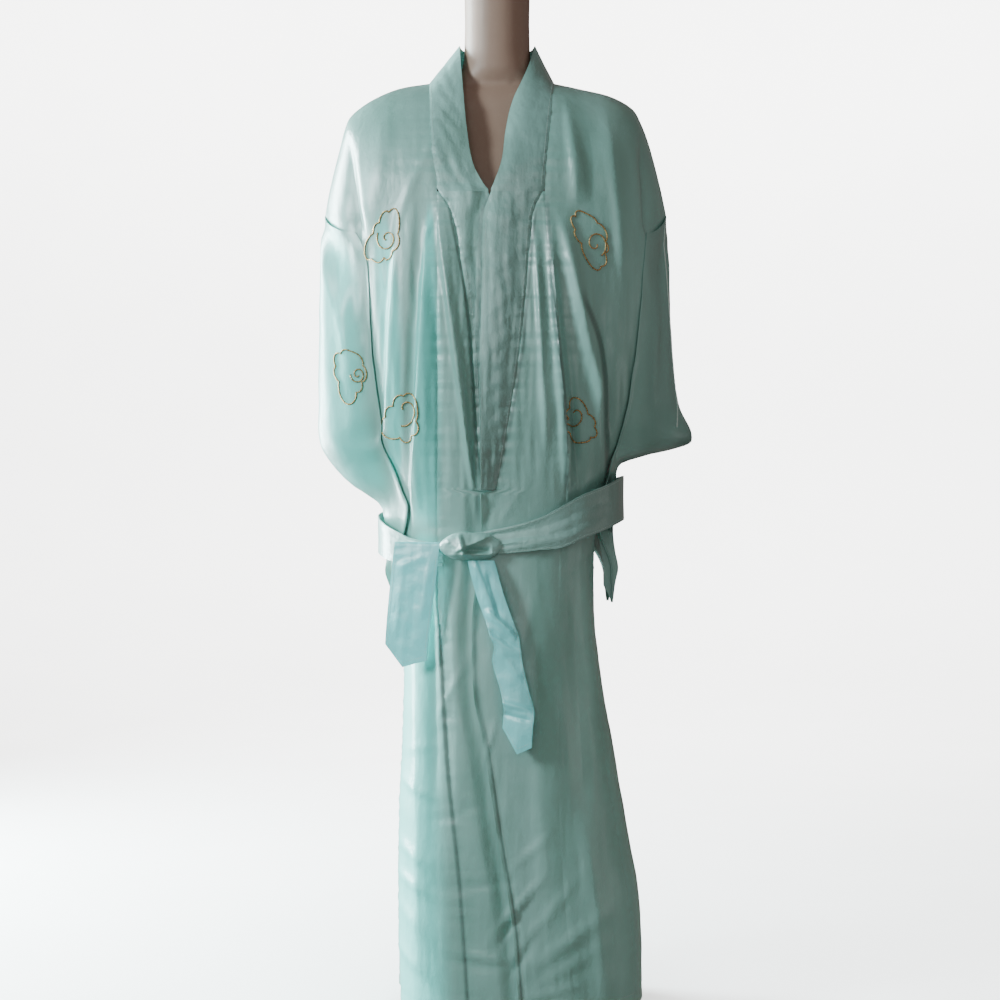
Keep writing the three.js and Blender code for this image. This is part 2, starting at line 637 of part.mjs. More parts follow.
// A sleeve hangs as a flattened tube against the side: u runs from the armhole's front edge
// forward to the front fold, out over the upper fold and back to the armhole's back edge
function sleevePoint(side, u, v) {
  const sign = side === "left" ? -1 : 1;
  const levels = side === "left" ? sleeveLevelsLeft : sleeveLevelsRight;
  const { outerShare, foldShare, lapped, folded, swellPower } = sleeveLayers;
  const half = Math.abs(u - 0.5) * 2;
  const forward = u < 0.5;
  const outward = clamp(1 - half / outerShare); // 0 at the fold, 1 at the upper fold
  const top = mix(armholeTop - sleeveTopRoom, sleeveFoldTop, smooth(half / outerShare));
  const rim = mix(wristCorner[side], wristTop[side], outward ** wristRise[side]);
  const z = mix(top, rim, v);
  const foldAngle = forward
    ? Math.abs(angleOf(valueAt(levels, "z", "frontFold", z), z))
    : radians(valueAt(levels, "z", "backFold", z));
  const edges = outerAngle("left", Math.max(z, underarm));
  const slit = forward ? edges.front : edges.back;
  const inside = clamp((half - foldShare) / (1 - foldShare));
  const pressed =
    smooth((z - beltPress.foot) / beltPress.run) * smooth((beltPress.top - z) / beltPress.run);
  const lift = mix(lapped.free, lapped.pressed, pressed);
  const innerOut = lift + lapped.swell * Math.sin(Math.PI * inside);
  const foldOut = mix(folded.free, folded.pressed, pressed);
  if (half > foldShare) {
    return bodyPoint(sign * mix(foldAngle, slit, inside), z, innerOut);
  }
  if (half > outerShare) {
    const turn = (half - outerShare) / (foldShare - outerShare);
    const beyond = sleeveLayers.foldBulge * Math.sin(Math.PI * turn) * (forward ? -1 : 1);
    return bodyPoint(sign * (foldAngle + beyond), z, mix(foldOut, innerOut, turn));
  }
  const reach = valueAt(levels, "z", "outer", z) - halfWidth(bodyLevels, z, sign);
  const power = mix(swellPower.free, swellPower.pressed, pressed);
  const swell = Math.sin((outward * Math.PI) / 2) ** power;
  const out = mix(foldOut, Math.max(reach, sleeveLayers.leastReach), swell);
  return bodyPoint(sign * mix(foldAngle, Math.PI / 2, outward), z, out);
}

// The collar band round the neck, from the chest on the left over the nape to the right
function neckBandPoint(u, widthShare) {
  const v = mix(bandClear, 1, widthShare);
  const frontShare = 1 / 3; // of the band's columns, on each side
  const side = u < 0.5 ? "left" : "right";
  const sign = u < 0.5 ? -1 : 1;
  const fromEnd = Math.min(u, 1 - u) / frontShare;
  if (fromEnd < 1) {
    const rows = side === "left" ? neckBandLeft : neckBandRight;
    const row = turnRows * (1 - fromEnd);
    const seamZ = fromEnd === 0 ? collarJoint + seamGap * 0.5 : rowHeight(row, neckPoint, 0);
    const seam = xAt(side === "left" ? seamLeft : seamRight, seamZ);
    const x = seam - sign * seamGap;
    const outer = bodyPoint(angleOf(x, seamZ), seamZ, 0, neckPoint, 0);
    const inner = new THREE.Vector3(
      valueAt(rows, "seamZ", "x", seamZ),
      valueAt(rows, "seamZ", "y", seamZ),
      valueAt(rows, "seamZ", "z", seamZ),
    );
    return outer.lerp(inner, v);
  }
  const round = Math.PI * ((u - frontShare) / (1 - 2 * frontShare));
  const corner = shoulderPoint(Math.cos(round) > 0 ? "left" : "right", 0);
  const seamX = -Math.abs(corner.x) * Math.cos(round);
  const seamY = (nape.seamDepth - 1) * Math.sin(round);
  const seamZ = mix(neckPoint, nape.seamZ, Math.sin(round)) + nape.seamRise * Math.sin(round);
  const outer = new THREE.Vector3(seamX, seamY, seamZ);
  const inner = new THREE.Vector3(
    -nape.edgeHalf * Math.cos(round),
    mix(-nape.edgeShift, nape.edgeDepth, Math.sin(round)),
    nape.edgeZ,
  );
  return outer.lerp(inner, v);
}

// The belt round the waist; it passes over the tucked-in sleeves
function beltPoint(u, v) {
  const degrees = mix(beltCourse[0].angle, beltCourse[beltCourse.length - 1].angle, u);
  const angle = radians(degrees);
  const z = valueAt(beltCourse, "angle", "z", degrees);
  const width = valueAt(beltCourse, "angle", "width", degrees);
  const s = Math.sin(angle);
  const c = Math.cos(angle);
  const bend = 2 / sectionPower;
  const x = Math.sign(s) * Math.abs(s) ** bend * beltSection[s < 0 ? "left" : "right"];
  const y = -Math.sign(c) * Math.abs(c) ** bend * beltSection[c > 0 ? "front" : "back"];
  return new THREE.Vector3(x, y, z + (0.5 - v) * width);
}

// The left end is folded over the belt's upper edge and hangs down to a slanted cut
function tailLeftPoint(u, v) {
  const { left, tip, right, tipShare } = tailLeftCut;
  const { leftRows, foldRows } = tailGrid;
  const row = v * leftRows;
  const beyondTip = (u - tipShare) / (1 - tipShare);
  const foot = u < tipShare ? mix(left, tip, u / tipShare) : mix(tip, right, beyondTip);
  const hang = clamp((row - foldRows) / (leftRows - foldRows));
  const round = Math.PI * clamp(row / foldRows);
  const { drop, rise, half } = tailLeftFold;
  const fallen = mix(tailLeftFold.z - drop * (1 - hang), foot, hang);
  const z = fallen + rise * Math.sin(round) * (1 - hang);
  const x = mix(valueAt(tailLeft, "z", "left", z), valueAt(tailLeft, "z", "right", z), u);
  const swell = tailLeftDepth.swell * Math.sin(Math.PI * hang) * Math.sin(Math.PI * u);
  const front = mix(tailLeftDepth.left, tailLeftDepth.right, u) - swell;
  return new THREE.Vector3(x, front + half * (1 + Math.cos(round)), z);
}

// The right end falls from under the knot, turning twice on its way
function tailRightPoint(u, v) {
  const z = mix(tailRight[0].z, tailRight[tailRight.length - 1].z, v);
  const x = mix(valueAt(tailRight, "z", "left", z), valueAt(tailRight, "z", "right", z), u);
  const y = valueAt(tailRight, "z", "y", z) - tailRightSwell * Math.sin(Math.PI * u);
  return new THREE.Vector3(x, y, z);
}

function knotMesh() {
  const geometry = new THREE.SphereGeometry(1, 16, 10);
  const place = geometry.getAttribute("position");
  for (let k = 0; k < place.count; k += 1) {
    const px = place.getX(k);
    const py = place.getY(k);
    const pz = place.getZ(k);
    const pinch = 1 - knot.pinch * Math.cos(px * Math.PI) ** 2;
    const depth = py < 0 ? knot.bulge : knot.flat;
    place.setXYZ(
      k,
      knot.x + knot.halfWidth * px,
      knot.y + depth * py * pinch,
      knot.z + knot.halfHeight * pz * pinch,
    );
  }
  return finished("belt_knot", geometry, mint);
}

// The form's neck, shoulders and trunk, turned as a lathe shape and drawn out to its levels
function trunkMesh() {
  const heights = [];
  for (let i = 1; i < formLevels.length; i += 1) {
    const a = formLevels[i - 1].z;
    const b = formLevels[i].z;
    const steps = a - b > formLongStep ? 2 : 1;
    for (let k = 0; k < steps; k += 1) heights.push(mix(a, b, k / steps));
  }
  heights.push(formLevels[formLevels.length - 1].z);
  const profile = heights.map((z) => new THREE.Vector2(1, z));
  profile.unshift(new THREE.Vector2(0, heights[0]));
  profile.push(new THREE.Vector2(0, heights[heights.length - 1]));
  const geometry = new THREE.LatheGeometry(profile, formSegments);
  geometry.rotateX(Math.PI / 2);
  const place = geometry.getAttribute("position");
  for (let k = 0; k < place.count; k += 1) {
    const z = place.getZ(k);
    if (Math.hypot(place.getX(k), place.getY(k)) < 0.5) {
      place.setXYZ(k, 0, 0, z);
      continue;
    }
    const angle = Math.atan2(place.getX(k), -place.getY(k));
    const flat = sectionPoint(formLevels, angle, z, formPower);
    place.setXYZ(k, flat.x, flat.y, z);
  }
  return finished("form_torso", geometry, cream, 0.5);
}

function turnedMesh(name, profile, segments) {
  const points = profile.map(([radius, z]) => new THREE.Vector2(radius, z));
  const geometry = new THREE.LatheGeometry(points, segments);
  geometry.rotateX(Math.PI / 2);
  return finished(name, geometry, cream, 0.45);
}

const group = new THREE.Group();
const add = (mesh) => group.add(mesh);

// The back's cut edge stands upright like the fronts', but leans with the cloth at mid-nape
const napeMiddle = 0.15;
const onShoulder = (share) => Math.abs(share * 2 - 1) > napeMiddle;
add(clothMesh("back", columns.back, panelRows, wall, backPoint, onShoulder));
for (const side of ["left", "right"]) {
  const front = (u, v) => frontPoint(side, u, v);
  const okumi = (u, v) => okumiPoint(side, u, v);
  const bandEnd = (u, v) => bandEndPoint(side, u, v);
  const sleeve = (u, v) => sleevePoint(side, u, v);
  const okumiRows = panelRows - turnRows + 1;
  add(clothMesh("front_" + side, columns.front, panelRows, wall, front, () => true));
  add(clothMesh("okumi_" + side, columns.okumi, okumiRows, wall, okumi));
  add(clothMesh("collar_end_" + side, columns.bandEnd, bandRows + 1, bandWall, bandEnd));
  add(clothMesh("sleeve_" + side, columns.sleeve, sleeveRows, wall, sleeve));
}
add(clothMesh("collar_neck", 3 * turnRows, bandColumns, bandWall, neckBandPoint));
add(clothMesh("belt_waist", columns.belt, bandColumns, bandWall, beltPoint));
add(knotMesh());
const { leftColumns, leftRows, rightColumns, rightRows } = tailGrid;
add(clothMesh("belt_tail_left", leftColumns, leftRows, wall, tailLeftPoint));
add(clothMesh("belt_tail_right", rightColumns, rightRows, wall, tailRightPoint));
add(trunkMesh());

const poleFoot = footHub.height + poleGap;
const poleTop = formLevels[formLevels.length - 1].z - poleGap;
const pole = [
  [0, poleFoot],
  [poleRadius, poleFoot],
  [poleRadius, poleTop],
  [0, poleTop],
];
const foot = [
  [0, 0],
  [footRadius - 1, 0],
  [footRadius, 2],
  [footRadius, footThickness - 2],
  [footRadius - 3, footThickness],
  [footHub.radius + 6, footThickness + 2],
  [footHub.radius, footHub.height - 3],
  [footHub.radius - 3, footHub.height],
  [0, footHub.height],
];
add(turnedMesh("form_pole", pole, 20));
add(turnedMesh("form_base", foot, 40));

export default group;
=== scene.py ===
# A mint satin kimono robe with its tie belt, worn by a limbless dress form on a round foot.
# Shapes are worked out in millimetres, as the robe was cut; putInPlace turns them to metres.
import json
import math
from functools import partial

import bmesh
import bpy
import numpy as np
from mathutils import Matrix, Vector
from mathutils.bvhtree import BVHTree

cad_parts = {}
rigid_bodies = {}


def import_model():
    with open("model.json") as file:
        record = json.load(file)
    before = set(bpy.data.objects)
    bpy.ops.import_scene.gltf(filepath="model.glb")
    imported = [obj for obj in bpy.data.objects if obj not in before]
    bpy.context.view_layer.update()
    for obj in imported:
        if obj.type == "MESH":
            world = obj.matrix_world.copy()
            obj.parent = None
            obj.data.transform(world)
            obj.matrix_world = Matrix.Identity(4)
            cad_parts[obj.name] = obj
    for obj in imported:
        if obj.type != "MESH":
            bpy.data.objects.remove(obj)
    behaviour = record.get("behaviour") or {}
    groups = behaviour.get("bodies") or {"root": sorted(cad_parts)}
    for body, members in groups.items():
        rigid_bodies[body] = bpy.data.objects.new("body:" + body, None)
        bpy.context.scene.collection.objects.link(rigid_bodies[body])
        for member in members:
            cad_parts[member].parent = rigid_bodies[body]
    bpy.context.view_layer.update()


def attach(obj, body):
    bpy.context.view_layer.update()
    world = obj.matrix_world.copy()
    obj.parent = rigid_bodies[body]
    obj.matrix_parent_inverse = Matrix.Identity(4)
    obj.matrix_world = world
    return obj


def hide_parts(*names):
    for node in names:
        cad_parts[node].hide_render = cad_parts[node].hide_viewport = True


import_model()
scene = bpy.context.scene
grain = 1
mm = 0.001

# Camera: it stands level with the robe's middle and looks straight on
view = {"place": (0.004, -2.6, 0.725), "lens": 65.9, "sensor": 36}
camera = bpy.data.objects.new("camera", bpy.data.cameras.new("camera"))
camera.location = view["place"]
camera.rotation_euler = (math.radians(90), 0, 0)
camera.data.lens = view["lens"]
camera.data.sensor_width = view["sensor"]
scene.collection.objects.link(camera)
scene.camera = camera
print("camera set")


# Small helpers for shapes

def mix(a, b, t):
    return a + (b - a) * t


def smooth(value):
    held = np.clip(value, 0, 1)
    return held * held * (3 - 2 * held)


def table(names, *rows):  # named columns, sorted by the first, which is the key
    columns = dict(zip(names.split(), np.array(sorted(rows), float).T))
    columns["key"] = columns[names.split()[0]]
    return columns


def rowsOf(names, *rows):  # a dictionary for each row
    return [dict(zip(names.split(), row)) for row in rows]


def valueAt(rows, name, place):  # a smooth value of one column at a place along the key
    keys, values = rows["key"], rows[name]
    held = np.clip(place, keys[0], keys[-1])
    i = np.clip(np.searchsorted(keys, held, side="right") - 1, 0, len(keys) - 2)
    before = np.maximum(np.arange(len(keys)) - 1, 0)
    after = np.minimum(np.arange(len(keys)) + 1, len(keys) - 1)
    slope = (values[after] - values[before]) / (keys[after] - keys[before])
    step = keys[i + 1] - keys[i]
    t = (held - keys[i]) / step
    start = values[i] * (1 + 2 * t) * (1 - t) ** 2 + step * slope[i] * t * (1 - t) ** 2
    return start + values[i + 1] * t * t * (3 - 2 * t) - step * slope[i + 1] * t * t * (1 - t)


def bell(across, left, right):  # a fold's section, of its own width to each side
    return np.exp(-(np.abs(across / np.where(across < 0, left, right)) ** 1.7))


# The robe's cut and how it hangs
robe = {
    "wall": 0.9,  # a single layer
    "bandWall": 1.9,  # folded double
    "hemLeft": 20, "hemRight": 27, "hemTurn": 16,
    "neckPoint": 1314, "shoulderRound": 150, "napeDepth": 76, "napeZ": 1310,
    "armholeTop": 1127, "underarm": 677,
    "collarEnd": 739, "levelFoot": 1040, "turnFoot": 1129,
    "underLayer": 7,  # how far the wrapped-under front lies behind the one on top
    "power": 2.4,  # 2 is an ellipse, more is squarer
}
panelGrid = {"turn": 72 // grain, "band": 90 // grain, "skirt": 130 // grain}
panelRows = sum(panelGrid.values())
neckShare = 0.945  # of the shoulder's turn, down to where the neck band meets its lower ends
firstRow = round(panelGrid["turn"] * neckShare)

bodyLevels = table(
    "z left right front back",
    (1330, 246, 242, 112, 112), (1127, 244, 240, 116, 118), (1050, 218, 226, 122, 118),
    (966, 203, 214, 125, 116), (860, 184, 194, 119, 112), (770, 152, 160, 110, 106),
    (700, 138, 142, 105, 101), (640, 134, 137, 105, 102), (560, 131, 138, 111, 112),
    (470, 132, 148, 118, 122), (366, 135, 166, 124, 132), (256, 140, 185, 130, 141),
    (150, 140, 201, 135, 148), (20, 137, 205, 140, 154),
)
shoulderLine = rowsOf(  # half width and height, from the neck point to the armhole
    "left right",
    ((95, 1314), (80, 1314)), ((138, 1307), (118, 1306)), ((173, 1293), (160, 1296)),
    ((199, 1276), (191, 1279)), ((211, 1262), (203, 1259)), ((223, 1222), (217, 1222)),
    ((237, 1165), (232, 1165)), ((244, 1127), (240, 1127)),
)
seams = {  # where the fronts' seams and edges run, x at heights z
    "left": table(
        "z x", (1314, -95), (1201, -89), (1153, -82), (955, -81), (589, -82), (540, -77),
        (366, -66), (213, -50), (77, -40), (20, -37)),
    "right": table(
        "z x", (1314, 80), (1201, 69), (1150, 65), (1091, 68), (955, 80), (833, 93), (725, 94),
        (640, 85), (454, 84), (253, 86), (20, 108)),
    "bandOuterLeft": table(
        "z x", (1150, -82), (1116, -62), (1035, -46), (952, -35), (821, -27), (739, -20)),
    "bandOuterRight": table(
        "z x", (1150, 65), (1119, 50), (1078, 45), (996, 38), (928, 31), (847, 18), (739, -1)),
    "bandInnerLeft": table("z x", (1144, -12), (1100, 4), (1035, 15), (900, 30), (739, 41)),
    "overEdge": table(
        "z x", (1144, -8), (1112, -18), (1023, -20), (900, -23), (745, -22), (664, -22),
        (603, -30), (555, -34), (458, -31), (397, -19), (266, 1), (161, 19), (53, 28), (20, 29)),
    "underEdge": table("z x", (739, 41), (400, 46), (20, 64)),
}
signs = {"left": -1, "right": 1}
edges = {  # of the band's lower ends and, below them, of the overlap panels
    side: {"outer": seams["bandOuter" + side.title()], "inner": seams[inner], "free": seams[free]}
    for side, inner, free in (("left", "bandInnerLeft", "underEdge"), ("right", "overEdge", "overEdge"))
}
sideSeams = table(
    "z left right", (677, 90, 90), (600, 90, 76), (520, 90, 66), (300, 90, 62), (20, 90, 68))
armholeOpening = table(
    "z angle", (1127, 2), (1090, 7), (1000, 13), (850, 15), (740, 9), (677, 0.4))

# Folds of the fronts from top to foot: soft to the left and right by their own widths
frontFolds = rowsOf(
    "top foot left right height",
    ((-86, 1160), (-26, 690), 5, 17, 12), ((-62, 1060), (-22, 700), 12, 6, -4),
    ((-94, 1120), (-116, 680), 4, 25, 10), ((-88, 1080), (-74, 700), 9, 7, -4),
    ((-134, 1130), (-154, 740), 5, 20, 9), ((-112, 1180), (-128, 820), 14, 6, 4),
    ((-182, 1130), (-178, 830), 14, 9, -4), ((-214, 1256), (-190, 1080), 22, 8, -12),
    ((66, 1150), (98, 720), 5, 10, 12), ((50, 1110), (66, 800), 4, 8, 6),
    ((80, 1136), (142, 850), 8, 15, 12), ((76, 1080), (120, 740), 10, 6, -6),
    ((150, 1020), (160, 800), 13, 5, -8), ((104, 880), (116, 710), 11, 5, -8),
    ((136, 930), (142, 730), 7, 13, 7), ((200, 1240), (210, 1090), 6, 22, -10),
    ((92, 1300), (108, 1130), 5, 12, 5), ((150, 1280), (172, 1040), 9, 16, 5),
    ((-112, 650), (-106, 60), 11, 17, 4), ((-88, 640), (-84, 320), 8, 5, -3),
    ((-60, 640), (-52, 300), 7, 13, 2.4), ((2, 640), (20, 400), 14, 9, -5),
    ((52, 650), (60, 200), 14, 24, 4), ((104, 650), (122, 300), 16, 10, -5),
    ((118, 300), (150, 20), 13, 20, 5),
)
# Flutes of the back, by degrees from its middle, deepest at the hem or at the waist
backFolds = rowsOf(
    "angle top foot width waist hem",
    (-66, 570, 0, 9, 0, 17), (-44, 570, 0, 8, 0, 22), (-19, 650, 0, 8, 3, 20),
    (6, 650, 0, 9, 3, 25), (31, 600, 0, 8, 1, 19), (56, 570, 0, 9, 0, 22),
    (-24, 1000, 740, 6, 6, 8), (-8, 1080, 740, 5, 6, 9), (9, 1040, 740, 5, 6, 9),
    (25, 980, 740, 6, 6, 8),
)
# Small creases: a middle, a half length, a width, a slant in degrees and a height
creases = rowsOf(
    "at long wide slant height",
    ((-60, 470), 40, 5, 62, 1.6), ((-56, 300), 34, 5, 20, -1.4), ((-22, 205), 44, 5, 6, -2.2),
    ((46, 250), 34, 5, 42, 1.8), ((66, 160), 60, 8, 50, 2.4), ((40, 118), 40, 6, 58, -2.2),
    ((92, 90), 46, 8, 28, 2), ((-104, 386), 26, 5, 16, 1.4), ((-118, 240), 32, 8, -30, 2.2),
    ((-116, 150), 30, 9, -38, 2), ((-10, 395), 26, 2.5, 74, 2.6), ((12, 706), 26, 4, 58, 3.4),
    ((-6, 712), 24, 4, 62, -2.6), ((-30, 560), 20, 3, 80, 1.8), ((36, 540), 50, 9, 78, 2.4),
    ((-24, 110), 30, 4, -8, 3), ((-30, 98), 34, 4, -6, -2.4), ((30, 180), 44, 5, 48, 3),
    ((20, 150), 30, 4, 52, -2.4), ((70, 60), 44, 7, 14, 2.6), ((100, 130), 50, 10, 34, 3),
    ((-112, 330), 24, 6, -24, 2.4), ((-118, 200), 30, 7, -20, 2.6), ((-112, 90), 34, 8, -34, 2.4),
    ((-92, 1096), 22, 4, 68, 2.2), ((-126, 1130), 34, 6, 72, 2), ((-104, 1180), 40, 6, 66, 1.6),
    ((110, 1190), 44, 8, 100, 2), ((150, 1180), 60, 12, 92, 2.4), ((-160, 1200), 60, 12, 84, 2.4),
    ((128, 640), 30, 6, 24, -2), ((98, 800), 40, 5, 84, 2.2),
)

surface = {  # how high the small patterns are, and how the belt flattens the folds
    "ripple": 0.9, "wrinkle": 0.12, "wrinkleAboveBelt": 0.33, "cinch": 0.96, "cinchReach": 62,
}
beltCourse = table(  # degrees round from the front, the belt's middle height and its width
    "angle z width", (-8, 663, 28), (15, 679, 44), (25, 688, 56), (39, 704, 60), (75, 726, 62),
    (105, 728, 60), (150, 716, 58), (180, 704, 57), (210, 694, 56), (240, 684, 55),
    (270, 678, 52), (300, 664, 45), (320, 654, 36), (338, 650, 30),
)


def sectionPoint(levels, angle, z, power):  # a superellipse, by angles round from the front
    s, c = np.sin(angle), np.cos(angle)
    w = np.where(s < 0, valueAt(levels, "left", z), valueAt(levels, "right", z))
    d = np.where(c > 0, valueAt(levels, "front", z), valueAt(levels, "back", z))
    x = np.sign(s) * np.abs(s) ** (2 / power) * w
    return x, -np.sign(c) * np.abs(c) ** (2 / power) * d, w, d


def angleOf(x, z):  # where the front of the body passes through x
    w = np.where(x < 0, valueAt(bodyLevels, "left", z), valueAt(bodyLevels, "right", z))
    return np.sign(x) * np.arcsin(np.clip(np.abs(x) / w, 0, 1) ** (robe["power"] / 2))


def beltHeight(angle):
    return valueAt(beltCourse, "z", (np.degrees(angle) + 375) % 360 - 15)


def ripple(a, b):  # slow, uneven waves of the cloth, about 1 high
    waves = np.sin(a * 0.021 + b * 0.013 + 1.3) * np.sin(b * 0.017 - a * 0.008)
    waves += 0.6 * np.sin(a * 0.047 - b * 0.029 + 0.4) * np.sin(b * 0.031 + a * 0.012 + 2)
    return waves + 0.35 * np.sin(a * 0.09 + b * 0.06) * np.sin(b * 0.071 - a * 0.05 + 1)


def wrinkles(a, z):  # fine, mostly upright lines, about 1 high
    lean = a + 0.06 * z + 6 * np.sin(z * 0.011)
    fine = np.sin(lean * 0.33 + 2.2 * np.sin(z * 0.013)) * np.sin(z * 0.019 + a * 0.03 + 1)
    fine += 0.7 * np.sin(lean * 0.57 + 1.7 * np.sin(z * 0.021 + 2)) * np.sin(z * 0.033 - a * 0.05)
    return fine


def relief(angle, x, z):  # how far folds and creases lift the cloth
    lift = np.zeros_like(x)
    for fold in frontFolds:
        along = (fold["top"][1] - z) / (fold["top"][1] - fold["foot"][1])
        across = x - mix(fold["top"][0], fold["foot"][0], along)
        ends = smooth(along * 2.6 + 0.1) * smooth((1 - along) * 4 + 0.3)
        lift += fold["height"] * ends * bell(across, fold["left"], fold["right"])
    for crease in creases:
        turn = math.radians(crease["slant"])
        dx, dz = x - crease["at"][0], z - crease["at"][1]
        along = (dx * math.cos(turn) + dz * math.sin(turn)) / crease["long"]
        across = (dz * math.cos(turn) - dx * math.sin(turn)) / crease["wide"]
        lift += crease["height"] * np.exp(-(along ** 2) - across ** 2)
    behind = np.zeros_like(x)
    fromBack = np.degrees(np.arctan2(np.sin(angle), -np.cos(angle)))
    for fold in backFolds:
        along = (fold["top"] - z) / (fold["top"] - fold["foot"])
        across = (fromBack - fold["angle"]) / fold["width"]
        depth = mix(fold["waist"], fold["hem"], along) * smooth(along * 5) * (along < 1.2)
        behind += depth * np.exp(-across * across)
    lift = np.where(np.cos(angle) > 0, lift, behind)
    sides = smooth(np.abs(np.cos(angle)) / 0.35)
    nearBelt = np.exp(-(((z - beltHeight(angle)) / surface["cinchReach"]) ** 2))
    place = x + 400 * (np.cos(angle) < 0)
    gathered = surface["wrinkleAboveBelt"] * smooth((1110 - z) / 120) * smooth((z - 560) / 120)
    fine = (surface["wrinkle"] + gathered) * wrinkles(place, z) * sides
    lift = lift * sides + surface["ripple"] * ripple(place, z) + fine
    return lift * (1 - surface["cinch"] * nearBelt)


def bodyPoint(angle, z, out=0.0, top=4000.0, topY=0.0):
    x, y, w, d = sectionPoint(bodyLevels, angle, z, robe["power"])
    turned = np.sqrt(1 - (1 - np.clip((top - z) / robe["shoulderRound"], 0, 1)) ** 2)
    nx = np.sign(x) * np.abs(x / w) ** (robe["power"] - 1) / w
    ny = np.sign(y) * np.abs(y / d) ** (robe["power"] - 1) / d
    size = np.hypot(nx, ny)
    lift = out + relief(angle, x, z) * turned
    return x + nx / size * lift, mix(topY, y, turned) + ny / size * lift * turned, z


shoulderRuns = {}
for side in ("left", "right"):
    line = np.array([row[side] for row in shoulderLine], float)
    steps = np.hypot(*np.diff(line, axis=0).T)
    runs = np.concatenate([[0], np.cumsum(steps)]) / steps.sum()
    shoulderRuns[side] = table("run x z", *zip(runs, line[:, 0], line[:, 1]))


def shoulderPoint(side, share):
    line = shoulderRuns[side]
    return signs[side] * valueAt(line, "x", share), valueAt(line, "z", share)


def hemAt(angle):
    return mix(robe["hemLeft"], robe["hemRight"], 0.5 + 0.5 * np.sin(angle))


def rowHeight(row, top, hem):  # the height of a panel's row between the shoulder and the hem
    turn, band, skirt = panelGrid["turn"], panelGrid["band"], panelGrid["skirt"]
    z = mix(robe["collarEnd"], hem, (row - turn - band) / skirt)
    beside = mix(robe["turnFoot"], robe["collarEnd"], (row - turn) / band)
    z = np.where(row <= turn + band, beside, z)
    over = mix(robe["neckPoint"], robe["turnFoot"], (np.minimum(row, turn) / turn) ** 1.5)
    z = np.where(row <= turn, over, z)
    level, neck = robe["levelFoot"], robe["neckPoint"]
    return np.where(z > level, mix(level, top, (z - level) / (neck - level)), z)


def outerAngle(side, z):
    seam = np.radians(valueAt(sideSeams, side, z))
    slit = np.where(z > robe["underarm"], np.radians(valueAt(armholeOpening, "angle", z)), 0)
    return seam - slit, seam + slit


def tuck(distance, depth=0.8, width=2.0):  # cloth dips where it is drawn into a seam
    return -depth * np.exp(-((distance / width) ** 2))


def pucker(distance, run, height=0.55, reach=13):  # small gathers along a seam
    waves = np.sin(run * 0.42 + 2 * np.sin(run * 0.051)) + 0.6 * np.sin(run * 0.27 + 1)
    return height * np.exp(-np.abs(distance) / reach) * waves


def hemTuck(z, angle):
    return tuck(z - hemAt(angle) - robe["hemTurn"], 0.7, 2)


def seamDepth(side, z):  # the right seam lies flatter below the belt
    return 1 - 0.75 * smooth((660 - z) / 60) * (side == "right")


def layerOut(side, x, z):  # the wrapped-under front steps back where the other one begins
    stepped = smooth((x - valueAt(seams["overEdge"], "x", z) + 27) / 22)
    return -robe["underLayer"] * stepped * (side == "left")


# Making a piece of cloth

def putInPlace(bm, places):
    for vert, place in zip(bm.verts, places):
        vert.co = Vector(place) * mm


def strip(*rows):  # part of the front, by x and half width at heights z
    return table("z x half", *rows)


paintedDaylightStrips = [  # where one layer hangs clear: painted daylight coming through it
    strip((1120, -91, 4), (1060, -93, 9), (980, -95, 15), (880, -97, 18), (690, -98, 17)),
    strip((680, -98, 12), (560, -108, 26), (300, -112, 34), (20, -108, 38)),
    strip((1110, -158, 8), (1000, -150, 16), (840, -142, 12), (760, -140, 8)),
    strip((1110, -232, 8), (1040, -224, 24), (850, -216, 34), (740, -180, 28)),
]
seamAndShadeStrips = [  # strips darkened: by the folded-in cloth behind a seam or hem, and by painted shade beside raised edges and down the right front
    strip(
        (640, -83, 3), (540, -78, 3.4), (366, -67, 3.6), (213, -51, 3.4), (77, -41, 3), (20, -38, 3)),
    # painted shadow beside the over edge, between the band's end and the belt
    strip((735, -27, 2.6), (700, -27, 3)),
    strip((1136, 67, 3), (1000, 76, 3), (860, 91, 3), (735, 95, 3)),
    # the next two: painted shade beside the bands' outer seams
    strip((1119, 53, 2), (1078, 48, 2), (996, 41, 2), (928, 34, 2.2), (847, 21, 2.4), (760, 4, 2.4)),
    strip((1116, -65, 1.6), (1035, -49, 1.6), (952, -38, 1.8), (821, -30, 2), (760, -25, 2)),
    strip(
        (620, -23, 1.6), (555, -29, 1.6), (458, -26, 1.6), (397, -14, 1.6), (266, 6, 1.6),
        (161, 24, 1.6), (53, 33, 1.6), (20, 34, 1.6)),
    # painted shade: a dark line down the right front
    strip((1000, 118, 4), (930, 143, 4), (800, 152, 4), (735, 154, 3)),
]
overShadow = [  # painted shadow on the under band, close beside the edge that lies over it
    strip((1140, -11, 2), (1112, -21, 2.6), (1023, -24, 3), (900, -27, 3.4), (745, -26, 3.4)),
]
paintedShadeTurnedAway = [  # painted shade where several layers lie turned from the window
    strip((1372, 60, 30), (1300, 66, 26), (1144, 40, 34), (930, 12, 26), (735, -8, 22)),
]
paintedShadeOnPieces = {  # painted shade on whole pieces turned away: how much at most, from which x on and over what run
    "belt_waist_satin": (0.7, 30, 90), "sleeve_right_satin": (0.34, 190, 30),
}
# how strong the painted shade on the collar pieces is
bandPaintedShade = 0.8


def stripShare(strips, places):
    x, y, z = places.T
    share = np.zeros_like(x)
    for part in strips:
        reach = np.abs(x - valueAt(part, "x", z)) / valueAt(part, "half", z)
        inside = smooth((z - part["z"][0] + 20) / 40) * smooth((part["z"][-1] + 20 - z) / 40)
        share = np.maximum(share, smooth(1.5 - reach) * inside * smooth((10 - y) / 60))
    return share


